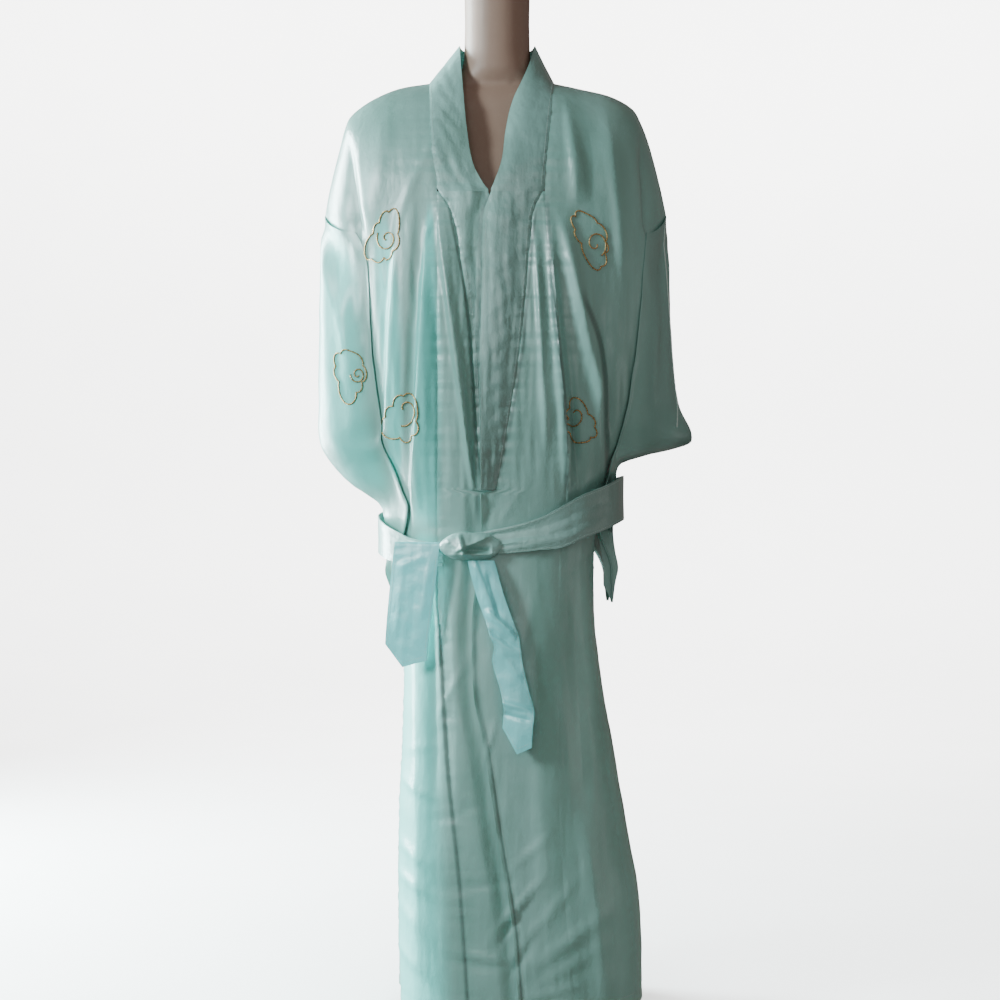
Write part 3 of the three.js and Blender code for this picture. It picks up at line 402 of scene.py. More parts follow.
def addObject(name, mesh):
    mesh.shade_smooth()
    made = bpy.data.objects.new(name, mesh)
    scene.collection.objects.link(made)
    return made


def meshAsShown(made):
    bpy.context.view_layer.update()
    return bpy.data.meshes.new_from_object(
        made.evaluated_get(bpy.context.evaluated_depsgraph_get()))


def finishPiece(name, bm, wall=0.0):
    mesh = bpy.data.meshes.new(name)
    bm.to_mesh(mesh)
    bm.free()
    piece = addObject(name, mesh)
    if wall:
        shell = piece.modifiers.new("wall", "SOLIDIFY")
        shell.thickness = wall * mm
        shell.offset = 0
        piece.data = meshAsShown(piece)
        piece.modifiers.clear()
        piece.data.set_sharp_from_angle(angle=math.radians(55))  # thin edges stay crisp
    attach(piece, "root")
    return piece


def cloth(name, columns, rows, pointAt, wall, size):  # size: width and length as laid flat, m
    bm = bmesh.new()
    bmesh.ops.create_grid(bm, x_segments=columns, y_segments=rows, size=0.5)
    share = np.array([vert.co[:2] for vert in bm.verts])
    u, v = share[:, 0] + 0.5, 0.5 - share[:, 1]
    flat = bm.loops.layers.uv.new("flat")
    for face in bm.faces:
        for loop in face.loops:
            place = loop.vert.co
            loop[flat].uv = ((place.x + 0.5) * size[0], (0.5 - place.y) * size[1])
    places = np.stack(np.broadcast_arrays(*pointAt(u, v)), 1)
    putInPlace(bm, places)
    paintedDaylight = bm.verts.layers.float.new("paintedDaylight")
    seamAndPaintedShade = bm.verts.layers.float.new("seamAndPaintedShade")
    single = wall < robe["bandWall"]
    # darker: seams and hems seen through the cloth, and painted shade beside raised edges
    darker = stripShare(seamAndShadeStrips, places) * single
    # on the collar pieces only painted shade: a shadow beside the over edge on the left end, shade
    # turned from the window on the rest
    if name.startswith("collar"):
        darker = bandPaintedShade * stripShare(overShadow if "left" in name else paintedShadeTurnedAway, places)
    # painted shade over the belt's far side and the right sleeve
    if name in paintedShadeOnPieces:
        most, start, run = paintedShadeOnPieces[name]
        darker = np.maximum(darker, most * smooth((places[:, 0] - start) / run))
    for vert, clear, dark in zip(bm.verts, stripShare(paintedDaylightStrips, places), darker):
        vert[paintedDaylight] = clear * single
        vert[seamAndPaintedShade] = dark
    return finishPiece(name, bm, wall)


# Panels
hemSpread = 1.2  # the angle that the hem's slant is read at, from a panel's middle to its side
seamGather = 0.9
panelWide = {"front": 150, "back": 240, "backMiddle": 260}  # about, to place what follows a seam


def frontPoint(side, u, v):  # from the overlap seam to the side, and the shoulder to the hem
    def innerAt(height):
        return np.abs(angleOf(valueAt(seams[side], "x", height), height))

    topX, topZ = shoulderPoint(side, u)
    z = rowHeight(v * panelRows, topZ, hemAt(signs[side] * u * hemSpread))
    outer = outerAngle(side, z)[0]
    start = np.abs(angleOf(topX, topZ)) - innerAt(topZ)
    settled = smooth((topZ - z) / (topZ - robe["levelFoot"]))
    angle = signs[side] * (innerAt(z) + mix(start, (outer - innerAt(z)) * u, settled))
    wide = panelWide["front"]
    out = (tuck(u * wide) + pucker(u * wide, z)) * seamDepth(side, z)
    out += tuck((1 - u) * wide) * (z < robe["underarm"])
    out += pucker((1 - u) * wide, z, seamGather) * (z < robe["underarm"])
    out += hemTuck(z, angle)
    return bodyPoint(angle, z, out, topZ, 0)


def backPoint(u, v):  # from the left armhole over the nape to the right one
    napeShare = 0.25
    away = u * 2 - 1
    sign = np.where(away < 0, -1, 1)
    across = np.abs(away)
    tops = {}
    for side in ("left", "right"):
        cornerX, cornerZ = shoulderPoint(side, 0)
        outX, outZ = shoulderPoint(side, (across - napeShare) / (1 - napeShare))
        turn = np.radians(90 * (1 - np.clip(across / napeShare, 0, 1)))
        onNape = across <= napeShare
        tops[side] = (
            np.where(onNape, cornerX * np.cos(turn), outX),
            np.where(onNape, robe["napeDepth"] * np.sin(turn), 0),
            np.where(onNape, mix(cornerZ, robe["napeZ"], np.sin(turn)), outZ),
        )
    topX, topY, topZ = (np.where(away < 0, a, b) for a, b in zip(tops["left"], tops["right"]))
    z = rowHeight(v * panelRows, topZ, hemAt(away * hemSpread))
    edge = np.where(away < 0, outerAngle("left", z)[1], outerAngle("right", z)[1])
    start = np.abs(angleOf(topX, topZ))
    settled = smooth((topZ - z) / (topZ - robe["levelFoot"]))
    angle = np.pi - sign * mix(start, (np.pi - edge) * across, settled)
    fromSide = (1 - across) * panelWide["back"]
    out = (tuck(fromSide) + pucker(fromSide, z, seamGather)) * (z < robe["underarm"])
    out += hemTuck(z, away) + tuck(away * panelWide["backMiddle"], 1.0, 2.2)
    return bodyPoint(angle, z, out, topZ, topY)


freeEdge = {"curl": 2.6, "curlAboveBelt": 3.4, "wide": 4.5, "turned": 9}


def okumiPoint(side, u, v):  # from its seam to the band's seam, or lower down to its free edge
    row = firstRow + v * (panelRows - firstRow)
    z = rowHeight(row, robe["neckPoint"], hemAt(0))
    above = z - robe["collarEnd"]
    seam = valueAt(seams[side], "x", z)
    edge = np.where(
        above > 0, valueAt(edges[side]["outer"], "x", z), valueAt(edges[side]["free"], "x", z))
    x = mix(seam, edge, u)
    out = (tuck(x - seam) + pucker(x - seam, z)) * seamDepth(side, z)
    out += (tuck(x - edge) + pucker(x - edge, z, 0.7)) * smooth(above / 30)
    out += tuck(np.abs(x - edge) - freeEdge["turned"], 0.6, 1.8) * smooth(-above / 30)
    curled = 1 + 0.5 * np.sin(z * 0.045) + 0.4 * np.sin(z * 0.11 + 1)
    free = smooth(-above / 16) * (1 - np.exp(-(((z - 664) / 28) ** 2)))  # held down by the belt
    lifted = freeEdge["curl"] + freeEdge["curlAboveBelt"] * smooth((z - 690) / 20)
    out += lifted * curled * np.exp(-(((x - edge) / freeEdge["wide"]) ** 2)) * free
    out += hemTuck(z, 0)
    return bodyPoint(angleOf(x, z), z, out + layerOut(side, x, z))


for side in ("left", "right"):
    width = 0.16 if side == "left" else 0.14
    front = cloth(
        "front_" + side + "_satin", 90 // grain, panelRows,
        partial(frontPoint, side), robe["wall"], (width, 1.29))
    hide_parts("front_" + side)
    okumi = cloth(
        "okumi_" + side + "_satin", 32 // grain, panelRows - firstRow,
        partial(okumiPoint, side), robe["wall"], (0.09, 1.12))
    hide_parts("okumi_" + side)
back = cloth("back_satin", 120 // grain, panelRows, backPoint, robe["wall"], (0.52, 1.29))
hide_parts("back")
print("panels made")

# Sleeves: each a flattened tube against the side, its lower corner tucked under the belt
sleeves = {
    "left": {
        "top": 806, "corner": 576, "rise": 1.9, "hang": 8, "slant": 12,
        "levels": table(
            "z outer frontFold backFold", (1127, 249, 238, 100), (1098, 250, 206, 118),
            (1070, 250, 193, 126), (955, 252, 187, 133), (861, 253, 174, 136),
            (806, 250, 160, 137), (768, 228, 146, 137), (744, 204, 137, 136),
            (727, 177, 130, 135), (714, 165, 125, 134), (660, 165, 132, 128),
            (576, 164, 138, 116)),
    },
    "right": {
        "top": 808, "corner": 580, "rise": 1.5, "hang": 23, "slant": 24,
        "levels": table(
            "z outer frontFold backFold", (1127, 245, 234, 100), (1098, 243, 214, 118),
            (1070, 242, 207, 126), (955, 247, 196, 133), (861, 257, 182, 136),
            (808, 275, 168, 137), (795, 240, 164, 137), (784, 186, 158, 137),
            (771, 171, 154, 136), (760, 169, 152, 136), (700, 171, 136, 134),
            (672, 180, 146, 122), (640, 186, 150, 112), (580, 179, 150, 104)),
    },
}


sleeveHang = {  # how far out the layers lie, loose and then pressed by the belt
    "lapped": (2.0, 3.6), "lapSwell": 0.8, "folded": (4.6, 6.2), "least": 3, "foldTurn": 0.028,
    "seam": 1.1, "seamOutside": 0.6, "insideTop": 1096, "folds": (2.2, 1.1),
    "outerShare": 1 / 2, "foldShare": 2 / 3,  # where round its outline each fold lies
}


def sleevePoint(side, u, v):  # forward from the armhole, over the upper fold and back to it
    spec = sleeves[side]
    levels = spec["levels"]
    outerShare, foldShare = sleeveHang["outerShare"], sleeveHang["foldShare"]
    half = np.abs(u - 0.5) * 2
    forward = u < 0.5
    outward = np.clip(1 - half / outerShare, 0, 1)
    top = mix(robe["armholeTop"] + 1, sleeveHang["insideTop"], smooth(half / outerShare))
    inside = np.clip((half - foldShare) / (1 - foldShare), 0, 1)
    rim = mix(spec["corner"], spec["top"], outward ** spec["rise"]) + spec["slant"] * inside
    z = mix(top, rim, v)
    foldAngle = np.where(
        forward,
        np.abs(angleOf(valueAt(levels, "frontFold", z), z)),
        np.radians(valueAt(levels, "backFold", z)),
    )
    slit = np.where(forward, *outerAngle("left", np.maximum(z, robe["underarm"])))
    pressed = smooth((z - 620) / 30) * smooth((800 - z) / 30)
    lapped = mix(*sleeveHang["lapped"], pressed) + sleeveHang["lapSwell"] * np.sin(np.pi * inside)
    folded = mix(*sleeveHang["folded"], pressed)
    clear = spec["hang"] * smooth((690 - z) / 70)  # the lower corner hangs clear of the body
    folded = folded + clear
    lapped = lapped + clear * (1 - 0.45 * inside)
    turn = np.clip((half - outerShare) / (foldShare - outerShare), 0, 1)
    beyond = sleeveHang["foldTurn"] * np.sin(np.pi * turn) * np.where(forward, -1, 1)
    reach = valueAt(levels, "outer", z) - valueAt(bodyLevels, side, z)
    swell = np.sin(outward * np.pi / 2) ** mix(1.3, 2.2, pressed)
    out = mix(folded, np.maximum(reach, sleeveHang["least"]), swell)
    angle = mix(foldAngle, np.pi / 2, outward)
    broad, narrow = sleeveHang["folds"]
    drape = np.sin(outward * 9 + z * 0.006) * broad + np.sin(outward * 17 - z * 0.011) * narrow
    out += drape * np.sin(np.pi * outward) * (1 - pressed) * smooth(v * 6)
    out = np.where(half > outerShare, mix(folded, lapped, turn), out)
    angle = np.where(half > outerShare, foldAngle + beyond, angle)
    out = np.where(half > foldShare, lapped, out)
    angle = np.where(half > foldShare, mix(foldAngle, slit, inside), angle)
    outside = mix(1.0, sleeveHang["seamOutside"], outward)
    seamOut = np.where(half > outerShare, sleeveHang["seam"], outside)
    out = mix(seamOut, out, smooth(v * mix(2.6, 9, outward ** 3)))
    out += pucker(v * 450, half * 320, 0.35, 9) * outward
    return bodyPoint(signs[side] * angle, z, out)


for side in ("left", "right"):
    sleeve = cloth(
        "sleeve_" + side + "_satin", 132 // grain, 96 // grain,
        partial(sleevePoint, side), robe["wall"], (0.9, 0.326))
    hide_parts("sleeve_" + side)
print("sleeves made")

# The collar band: round the neck, and its two pieced lower ends
collar = {
    "left": table(
        "seamZ x y z", (1314, -53, -6, 1368), (1300, -51, -36, 1340), (1272, -47, -64, 1290),
        (1232, -42, -88, 1236), (1190, -33, -102, 1184), (1150, -13, -108, 1146)),
    "right": table(
        "seamZ x y z", (1314, 53, -6, 1368), (1300, 42, -40, 1328), (1272, 22, -69, 1278),
        (1232, 12, -92, 1232), (1190, 6, -110, 1186), (1150, -8, -117, 1146)),
    "edgeDepth": 60, "edgeZ": 1368, "shift": 6, "cornerLeft": 95, "cornerRight": 80, "edgeX": 53,
}


def neckBandPoint(u, widthShare):
    def bySide(tables, axis):
        return np.where(u < 0.5, *(valueAt(tables[side], axis, seamZ) for side in ("left", "right")))

    v = mix(0.01, 1, widthShare)
    fromEnd = np.clip(np.minimum(u, 1 - u) * 3, 0, 1)
    seamZ = rowHeight(panelGrid["turn"] * neckShare * (1 - fromEnd), robe["neckPoint"], 0)
    outer = bodyPoint(angleOf(bySide(seams, "x"), seamZ), seamZ, 0.3, robe["neckPoint"], 0)
    inner = [bySide(collar, axis) for axis in "xyz"]
    turned = np.pi * (u * 3 - 1)
    corner = np.where(np.cos(turned) > 0, collar["cornerLeft"], collar["cornerRight"])
    napeOuter = (
        -corner * np.cos(turned),
        (robe["napeDepth"] - 1) * np.sin(turned),
        mix(robe["neckPoint"], robe["napeZ"], np.sin(turned)) + 1.5 * np.sin(turned),
    )
    napeInner = (
        -collar["edgeX"] * np.cos(turned),
        mix(-collar["shift"], collar["edgeDepth"], np.sin(turned)),
        np.full_like(u, collar["edgeZ"]),
    )
    atNape = np.minimum(u, 1 - u) * 3 > 1
    outer = [np.where(atNape, a, b) for a, b in zip(napeOuter, outer)]
    inner = [np.where(atNape, a, b) for a, b in zip(napeInner, inner)]
    x, y, z = (mix(a, b, v) for a, b in zip(outer, inner))
    lift = 1.8 * np.sin(np.pi * v) + 0.9 * ripple(x * 2.4 + 40, z * 1.9 + y)
    lift += tuck(v * 60, 1.2) + pucker(v * 60, z, 1.1, 11)
    slanting = np.sin(z * 0.19 + x * 0.3 + 1.5 * np.sin(z * 0.05))  # creases across the left side
    lift += 0.8 * slanting * np.sin(np.pi * v) ** 2 * (x < 0)
    hung = x, y - lift * (1 - 2 * atNape), z
    ends = [bandPlace(side, widthShare, seamZ) for side in ("left", "right")]
    settled = smooth(fromEnd / 0.05)
    return tuple(mix(np.where(u < 0.5, a, b), c, settled) for a, b, c in zip(*ends, hung))


def bandEndPoint(side, u, v):
    row = firstRow + v * (panelGrid["turn"] + panelGrid["band"] - firstRow)
    return bandPlace(side, u, rowHeight(row, robe["neckPoint"], 0))


def bandPlace(side, u, z):
    outer = valueAt(edges[side]["outer"], "x", z)
    x = mix(outer, valueAt(edges[side]["inner"], "x", z), u)
    puff = 2.2 * np.sin(np.pi * u) + tuck(x - outer, 1.2) + pucker(x - outer, z, 1.1, 9)
    puff += 0.9 * ripple(x * 2.4 + 40, z * 1.9) + 0.9 * ripple(x * 5, z * 4) * np.sin(np.pi * u)
    puff += 5.5 * u ** 1.4 * smooth((1140 - z) / 60) * (side == "right")  # its free edge stands out
    return bodyPoint(angleOf(x, z), z, puff + layerOut(side, x, z))


band = cloth(
    "collar_neck_satin", 144 // grain, 14 // grain, neckBandPoint, robe["bandWall"], (0.62, 0.062))
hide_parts("collar_neck")
for side in ("left", "right"):
    rows = panelGrid["turn"] + panelGrid["band"] - firstRow
    bandEnd = cloth(
        "collar_end_" + side + "_satin", 24 // grain, rows,
        partial(bandEndPoint, side), robe["bandWall"], (0.06, 0.41))
    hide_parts("collar_end_" + side)
print("collar made")

# The belt round the waist and its two hanging ends
beltSection = {"left": 167.4, "right": 178.8, "front": 110, "back": 111}


def beltPoint(u, v):
    degrees = mix(-8, 338, u)
    angle = np.radians(degrees)
    width = valueAt(beltCourse, "width", degrees)
    s, c = np.sin(angle), np.cos(angle)
    across = np.where(s < 0, beltSection["left"], beltSection["right"])
    deep = np.where(c > 0, beltSection["front"], beltSection["back"])
    bend = 2 / robe["power"]
    crease = 3.2 * bell(v - mix(0.62, 0.78, smooth(degrees / 40)), 0.05, 0.3)
    crease -= 2.2 * bell(v - mix(0.3, 0.36, smooth(degrees / 40)), 0.16, 0.06)
    byKnot = smooth((degrees + 6) / 8) * smooth((52 - degrees) / 30)
    lift = 0.6 * ripple(degrees * 4, v * 60) + crease * byKnot
    lift += 1.2 * np.sin(v * 24 + degrees * 0.05) * np.exp(-np.minimum(u, 1 - u) * 16)
    x = np.sign(s) * np.abs(s) ** bend * (across + lift)
    y = -np.sign(c) * np.abs(c) ** bend * (deep + lift)
    return x, y, valueAt(beltCourse, "z", degrees) + (0.5 - v) * width


tails = {
    "left": table(
        "z left right", (664, -140, -77.9), (600, -147, -85), (528, -153, -94), (497, -153, -96)),
    "right": table(
        "z left right y turn", (642.6, -40, -4, -114.4, 0), (600, -29, 8, -121, 0.2),
        (560, -15, 22, -125, 0.1), (540, -9, 29, -128, -0.1), (528, -4, 31, -129, 0),
        (506, -6, 34, -127, 0.15), (470, 4, 42, -130, 0.1), (445, 9, 49, -132, 0),
        (436, 9, 50, -134, 0.3), (417, 8, 48, -135, 0.4), (383, 8, 46, -135, 0.4)),
    "leftCut": ((0, 0.42, 1), (528, 497, 507)), "rightCut": ((0, 0.5, 1), (417, 383, 392)),
    "leftTop": 664, "rightTop": 642.6, "leftFold": 4 / 14, "leftDepth": (-94, -113), "twist": 36,
}
tailFolds = rowsOf(  # on either tail: crests from end to end with their widths left and right
    "from to left right height",
    ((-80, 664), (-146, 650), 3, 6, 3), ((-82, 656), (-138, 634), 3, 8, 2.4),
    ((-90, 650), (-104, 560), 4, 9, 2.2), ((-128, 636), (-138, 540), 9, 5, 2),
    ((-112, 600), (-116, 530), 7, 4, -1.6), ((-30, 640), (-2, 566), 8, 3, 2.6),
    ((-12, 622), (6, 560), 3, 5, -2.4), ((-12, 574), (26, 540), 4, 4, 4),
    ((-8, 548), (30, 522), 4, 4, -3), ((6, 520), (34, 480), 5, 5, 2),
    ((6, 452), (50, 440), 3, 4, 3.4), ((10, 436), (46, 428), 3, 3, -2.4),
)


def foldLift(folds, x, z, start, end):  # start and end: a steepness and what is left there
    lift = np.zeros_like(x)
    for fold in folds:
        (x0, z0), (x1, z1) = fold["from"], fold["to"]
        length = math.hypot(x1 - x0, z1 - z0)
        along = ((x - x0) * (x1 - x0) + (z - z0) * (z1 - z0)) / length ** 2
        across = ((z - z0) * (x1 - x0) - (x - x0) * (z1 - z0)) / length
        ends = smooth(along * start[0] + start[1]) * smooth((1 - along) * end[0] + end[1])
        lift += fold["height"] * ends * bell(across, fold["left"], fold["right"])
    return lift


def tailRelief(x, z):
    return foldLift(tailFolds, x, z, (4, 0.6), (3, 0.2))


def tailLeftPoint(u, v):  # folded over the belt's upper edge, down to a slanted cut
    foldShare = tails["leftFold"]
    foot = np.interp(u, *tails["leftCut"])
    hang = np.clip((v - foldShare) / (1 - foldShare), 0, 1)
    turn = np.pi * np.clip(v / foldShare, 0, 1)
    z = mix(tails["leftTop"] - 3 * (1 - hang), foot, hang) + 6 * np.sin(turn) * (1 - hang)
    x = mix(valueAt(tails["left"], "left", z), valueAt(tails["left"], "right", z), u)
    y = mix(*tails["leftDepth"], u) - 4 * np.sin(np.pi * hang) * np.sin(np.pi * u)
    wrinkle = 0.8 * ripple(x * 2.6, z * 2.6) * np.sin(np.pi * np.clip(u, 0.05, 0.95))
    wrinkle += tailRelief(x, z) * smooth(hang * 6)
    return x, y + 3 * (1 + np.cos(turn)) - wrinkle, z


def tailRightPoint(u, v):  # falls from under the knot, turning twice on its way
    z = mix(tails["rightTop"], np.interp(u, *tails["rightCut"]), v)
    x = mix(valueAt(tails["right"], "left", z), valueAt(tails["right"], "right", z), u)
    wrinkle = 0.6 * ripple(x * 3, z * 2.4) + tailRelief(x, z)
    twisted = (u - 0.5) * tails["twist"] * valueAt(tails["right"], "turn", z)
    y = valueAt(tails["right"], "y", z) - twisted
    return x, y - 2.5 * np.sin(np.pi * u) - wrinkle, z


belt = cloth(
    "belt_waist_satin", 180 // grain, 16 // grain, beltPoint, robe["bandWall"], (0.86, 0.055))
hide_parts("belt_waist")
tailLeft = cloth(
    "belt_tail_left_satin", 40 // grain, 100 // grain, tailLeftPoint, robe["bandWall"], (0.057, 0.19))
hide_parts("belt_tail_left")
tailRight = cloth(
    "belt_tail_right_satin", 28 // grain, 140 // grain, tailRightPoint, robe["bandWall"], (0.037, 0.26))
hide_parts("belt_tail_right")

knotSpec = {
    "x": -36, "y": -113.3, "z": 662, "halfWidth": 42.5, "halfHeight": 20.6, "bulge": 12,
    "wrapLeft": -83, "wrapRight": -43, "wrapTop": 682, "wrapOut": 4.5, "behind": 2,
}
knotFolds = rowsOf(  # crests and hollows, from end to end, with a width above and below each
    "from to right left height",
    ((-84, 648), (-42, 652), 3, 4, 4.5), ((-44, 652), (2, 651), 2.6, 4, 5.5),
    ((-52, 657), (-2, 680), 7, 2.6, 6.5), ((-40, 657), (-12, 656), 4.5, 3.5, -10),
    ((-46, 650), (-52, 676), 2.4, 3.4, 3.5), ((-76, 684), (-66, 668), 3, 3, 3),
    ((-70, 676), (-40, 672), 3, 6, 1.6), ((-74, 662), (-56, 658), 4, 4, -1.4),
)


def knotPiece():  # one wrap over the belt, a strand out to the right and one below it
    bm = bmesh.new()
    bmesh.ops.create_icosphere(bm, subdivisions=6 if grain == 1 else 5, radius=1)
    places = np.array([vert.co[:] for vert in bm.verts])
    px, py, pz = places.T
    pinch = 1 - 0.1 * np.cos(px * np.pi) ** 2
    x = knotSpec["x"] + knotSpec["halfWidth"] * px
    z = knotSpec["z"] + knotSpec["halfHeight"] * pz * pinch
    rightEdge = knotSpec["wrapRight"] - (z - 664) * 0.2
    wrap = smooth((x - knotSpec["wrapLeft"]) / 5) * smooth((rightEdge - x) / 4)
    lift = knotSpec["wrapOut"] * wrap * smooth((knotSpec["wrapTop"] - z) / 8)
    lift += foldLift(knotFolds, x, z, (5, 1), (5, 1))
    lift += 0.35 * ripple(x * 5, z * 5)
    front = knotSpec["bulge"] + lift * smooth(-py * 2.5)
    y = knotSpec["y"] + np.where(py < 0, front, knotSpec["behind"]) * py * pinch
    putInPlace(bm, np.stack([x, y, z], 1))
    return finishPiece("belt_knot_satin", bm)


knot = knotPiece()
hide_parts("belt_knot")
print("belt made")

# Clouds of gold cord, laid on the cloth and held down with small stitches
clouds = rowsOf(  # a middle, a half size, a lean, how many lobes, and the curl inside
    "on at half lean lobes start curl curlSize turns curlStart",
    ("front_left_satin", (-155, 1083), (21, 38), 24, 7, 40, (-150, 1082), 13, 1.2, 2.4),
    ("sleeve_left_satin", (-205, 899), (22, 36), -6, 6, 70, (-193, 899), 9, 1.4, 0.6),
    ("front_left_satin", (-131, 836), (25, 33), 16, 6, 110, (-126, 848), 17, 0.75, 3.4),
    ("front_right_satin", (128, 1080), (20, 42), -22, 7, 20, (134, 1074), 14, 1.1, 0.4),
    ("front_right_satin", (113, 831), (20, 30), -18, 6, 60, (106, 842), 15, 0.75, 4.4),
)
cord = {
    "thick": 2.0, "step": 1.1, "rise": 0.35, "longestGap": 9 * mm,
    "tie": 7, "tieThick": 0.8, "tieReach": 0.62, "tieRise": 0.2, "tieOver": 0.7, "tieLongest": 5 * mm,
}


def cloudLines(spec):  # a scalloped ring and a curl that grows out of it
    turn = np.linspace(0, 2 * np.pi, 240)
    uneven = turn + 0.35 * np.sin(turn * 2 + 1)
    lobe = np.abs(np.sin(uneven * spec["lobes"] / 2 + math.radians(spec["start"])))
    size = 0.84 + 0.2 * lobe ** 0.7 + 0.12 * np.sin(turn * 3 + spec["start"])
    lean = math.radians(spec["lean"])
    wide = spec["half"][0] * size * np.cos(turn)
    tall = spec["half"][1] * size * np.sin(turn)
    ring = np.stack([
        spec["at"][0] + wide * math.cos(lean) + tall * math.sin(lean),
        spec["at"][1] + tall * math.cos(lean) - wide * math.sin(lean)], 1)
    wind = np.linspace(0, spec["turns"] * 2 * np.pi, 90)
    spread = spec["curlSize"] * (0.14 + (wind / wind[-1]) ** 0.8)
    curl = np.stack([
        spec["curl"][0] + spread * np.cos(wind + spec["curlStart"]),
        spec["curl"][1] - 1.15 * spread * np.sin(wind + spec["curlStart"])], 1)
    return [ring, curl]


def evenly(line, step):  # the same line with points at one distance apart
    runs = np.concatenate([[0], np.cumsum(np.hypot(*np.diff(line, axis=0).T))])
    places = np.linspace(0, runs[-1], max(3, round(runs[-1] / step)))
    return np.stack([np.interp(places, runs, line[:, 0]), np.interp(places, runs, line[:, 1])], 1)


def surfaceOf(name):
    mesh = bpy.data.objects[name].data
    return BVHTree.FromPolygons([v.co for v in mesh.vertices], [f.vertices for f in mesh.polygons])


def layOn(tree, line, rise):  # points of a front view put on the cloth, or None where it has none
    for x, z in line:
        spot, normal, _, _ = tree.ray_cast(Vector((x, -400, z)) * mm, Vector((0, 1, 0)))
        yield None if spot is None else spot + normal * (rise * mm)


def addRun(curve, points, radii):
    if len(points) < 2:
        return
    run = curve.splines.new("POLY")
    run.points.add(len(points) - 1)
    for knotPoint, place, radius in zip(run.points, points, radii):
        knotPoint.co = (*place, 1)
        knotPoint.radius = radius


def threadPiece(name, curve, thick):
    curve.dimensions = "3D"
    curve.bevel_depth = thick / 2 * mm
    curve.bevel_resolution = 1
    curve.use_fill_caps = True
    strand = bpy.data.objects.new(name + "_run", curve)
    scene.collection.objects.link(strand)
    mesh = meshAsShown(strand)
    bpy.data.objects.remove(strand)
    mesh.name = name
    piece = addObject(name, mesh)
    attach(piece, "root")
    return piece


threads = []
for number, spec in enumerate(clouds, 1):
    tree = surfaceOf(spec["on"])
    cords = bpy.data.curves.new("cloud_cord", "CURVE")
    ties = bpy.data.curves.new("cloud_ties", "CURVE")
    for line in cloudLines(spec):
        fine = evenly(line, cord["step"])
        places = list(layOn(tree, fine, cord["thick"] * cord["rise"]))
        run = []
        for place in places + [None]:
            if place is not None and (not run or (place - run[-1]).length < cord["longestGap"]):
                run.append(place)
                continue
            addRun(cords, run, [1 + 0.2 * math.sin(k * 2.1) for k in range(len(run))])
            run = [] if place is None else [place]
        spaced = evenly(line, cord["tie"])
        for before, here in zip(spaced, spaced[1:]):
            way = (here - before) / np.linalg.norm(here - before)
            reach = np.array([-way[1], way[0]]) * cord["thick"] * cord["tieReach"]
            over = [here - reach, here, here + reach]
            tie = list(layOn(tree, over, cord["thick"] * cord["tieRise"]))
            if None not in tie and (tie[0] - tie[2]).length < cord["tieLongest"]:
                tie[1] += Vector((0, -cord["thick"] * cord["tieOver"] * mm, 0))
                addRun(ties, tie, [1, 1, 1])
    threads.append(threadPiece("cloud_cord_%d" % number, cords, cord["thick"]))
    threads.append(threadPiece("cloud_ties_%d" % number, ties, cord["tieThick"]))
print("clouds laid")

# Rows of small machine stitches along hems, bands and the belt's edges
stitch = {
    "long": 2.7, "gap": 1.1, "thick": 0.42, "sunk": 0.105,
    "fromEdge": 8, "inBand": 3.5, "inBandEdge": 3, "bandWide": {"left": 55, "right": 50},
    "neckShare": 0.06, "wristShare": 0.958, "edges": (0.05, 0.95), "tailRun": (0.34, 0.97),
    "tailEnd": 0.972,
}


def onCloth(pointAt, u, v, rise):  # places just outside a piece, along its own outward side
    step = 0.0015
    here = np.stack(np.broadcast_arrays(*pointAt(u, v)), 1)
    across = np.stack(np.broadcast_arrays(*pointAt(u + step, v)), 1) - here
    down = np.stack(np.broadcast_arrays(*pointAt(u, v - step)), 1) - here
    out = np.cross(across, down)
    out /= np.maximum(np.linalg.norm(out, axis=1), 1e-9)[:, None]
    away = np.sign(out[:, 0] * here[:, 0] + out[:, 1] * here[:, 1])
    return here + out * (away * rise)[:, None]


def sewRow(curve, places):
    runs = np.concatenate([[0], np.cumsum(np.linalg.norm(np.diff(places, axis=0), axis=1))])
    starts = np.arange(0, runs[-1] - stitch["long"], stitch["long"] + stitch["gap"])
    at = starts[:, None] + np.array([0, 0.5, 1]) * stitch["long"]
    spots = np.stack([np.interp(at, runs, places[:, axis]) for axis in range(3)], 2) * mm
    for spot in spots:
        addRun(curve, [Vector(place) for place in spot], [0.6, 1, 0.6])


along = np.linspace(0.01, 0.99, 500)
level = np.ones_like(along)
hemShare = robe["hemTurn"] / (robe["collarEnd"] - robe["hemLeft"]) * panelGrid["skirt"]
panelHem = level - hemShare / panelRows
single = robe["wall"] / 2 + stitch["sunk"]
double = robe["bandWall"] / 2 + stitch["sunk"]
overZ = rowHeight(firstRow + along * (panelRows - firstRow), robe["neckPoint"], hemAt(0))
overWide = np.abs(valueAt(seams["overEdge"], "x", overZ) - valueAt(seams["right"], "x", overZ))
lower = overZ < robe["collarEnd"] - 12
sewing = bpy.data.curves.new("stitches", "CURVE")
rowsToSew = [
    (backPoint, along, panelHem, single),
    (partial(okumiPoint, "right"), (1 - stitch["fromEdge"] / overWide)[lower], along[lower], single),
    (neckBandPoint, along, level * stitch["neckShare"], double),
    *[(beltPoint, along, level * share, double) for share in stitch["edges"]],
]
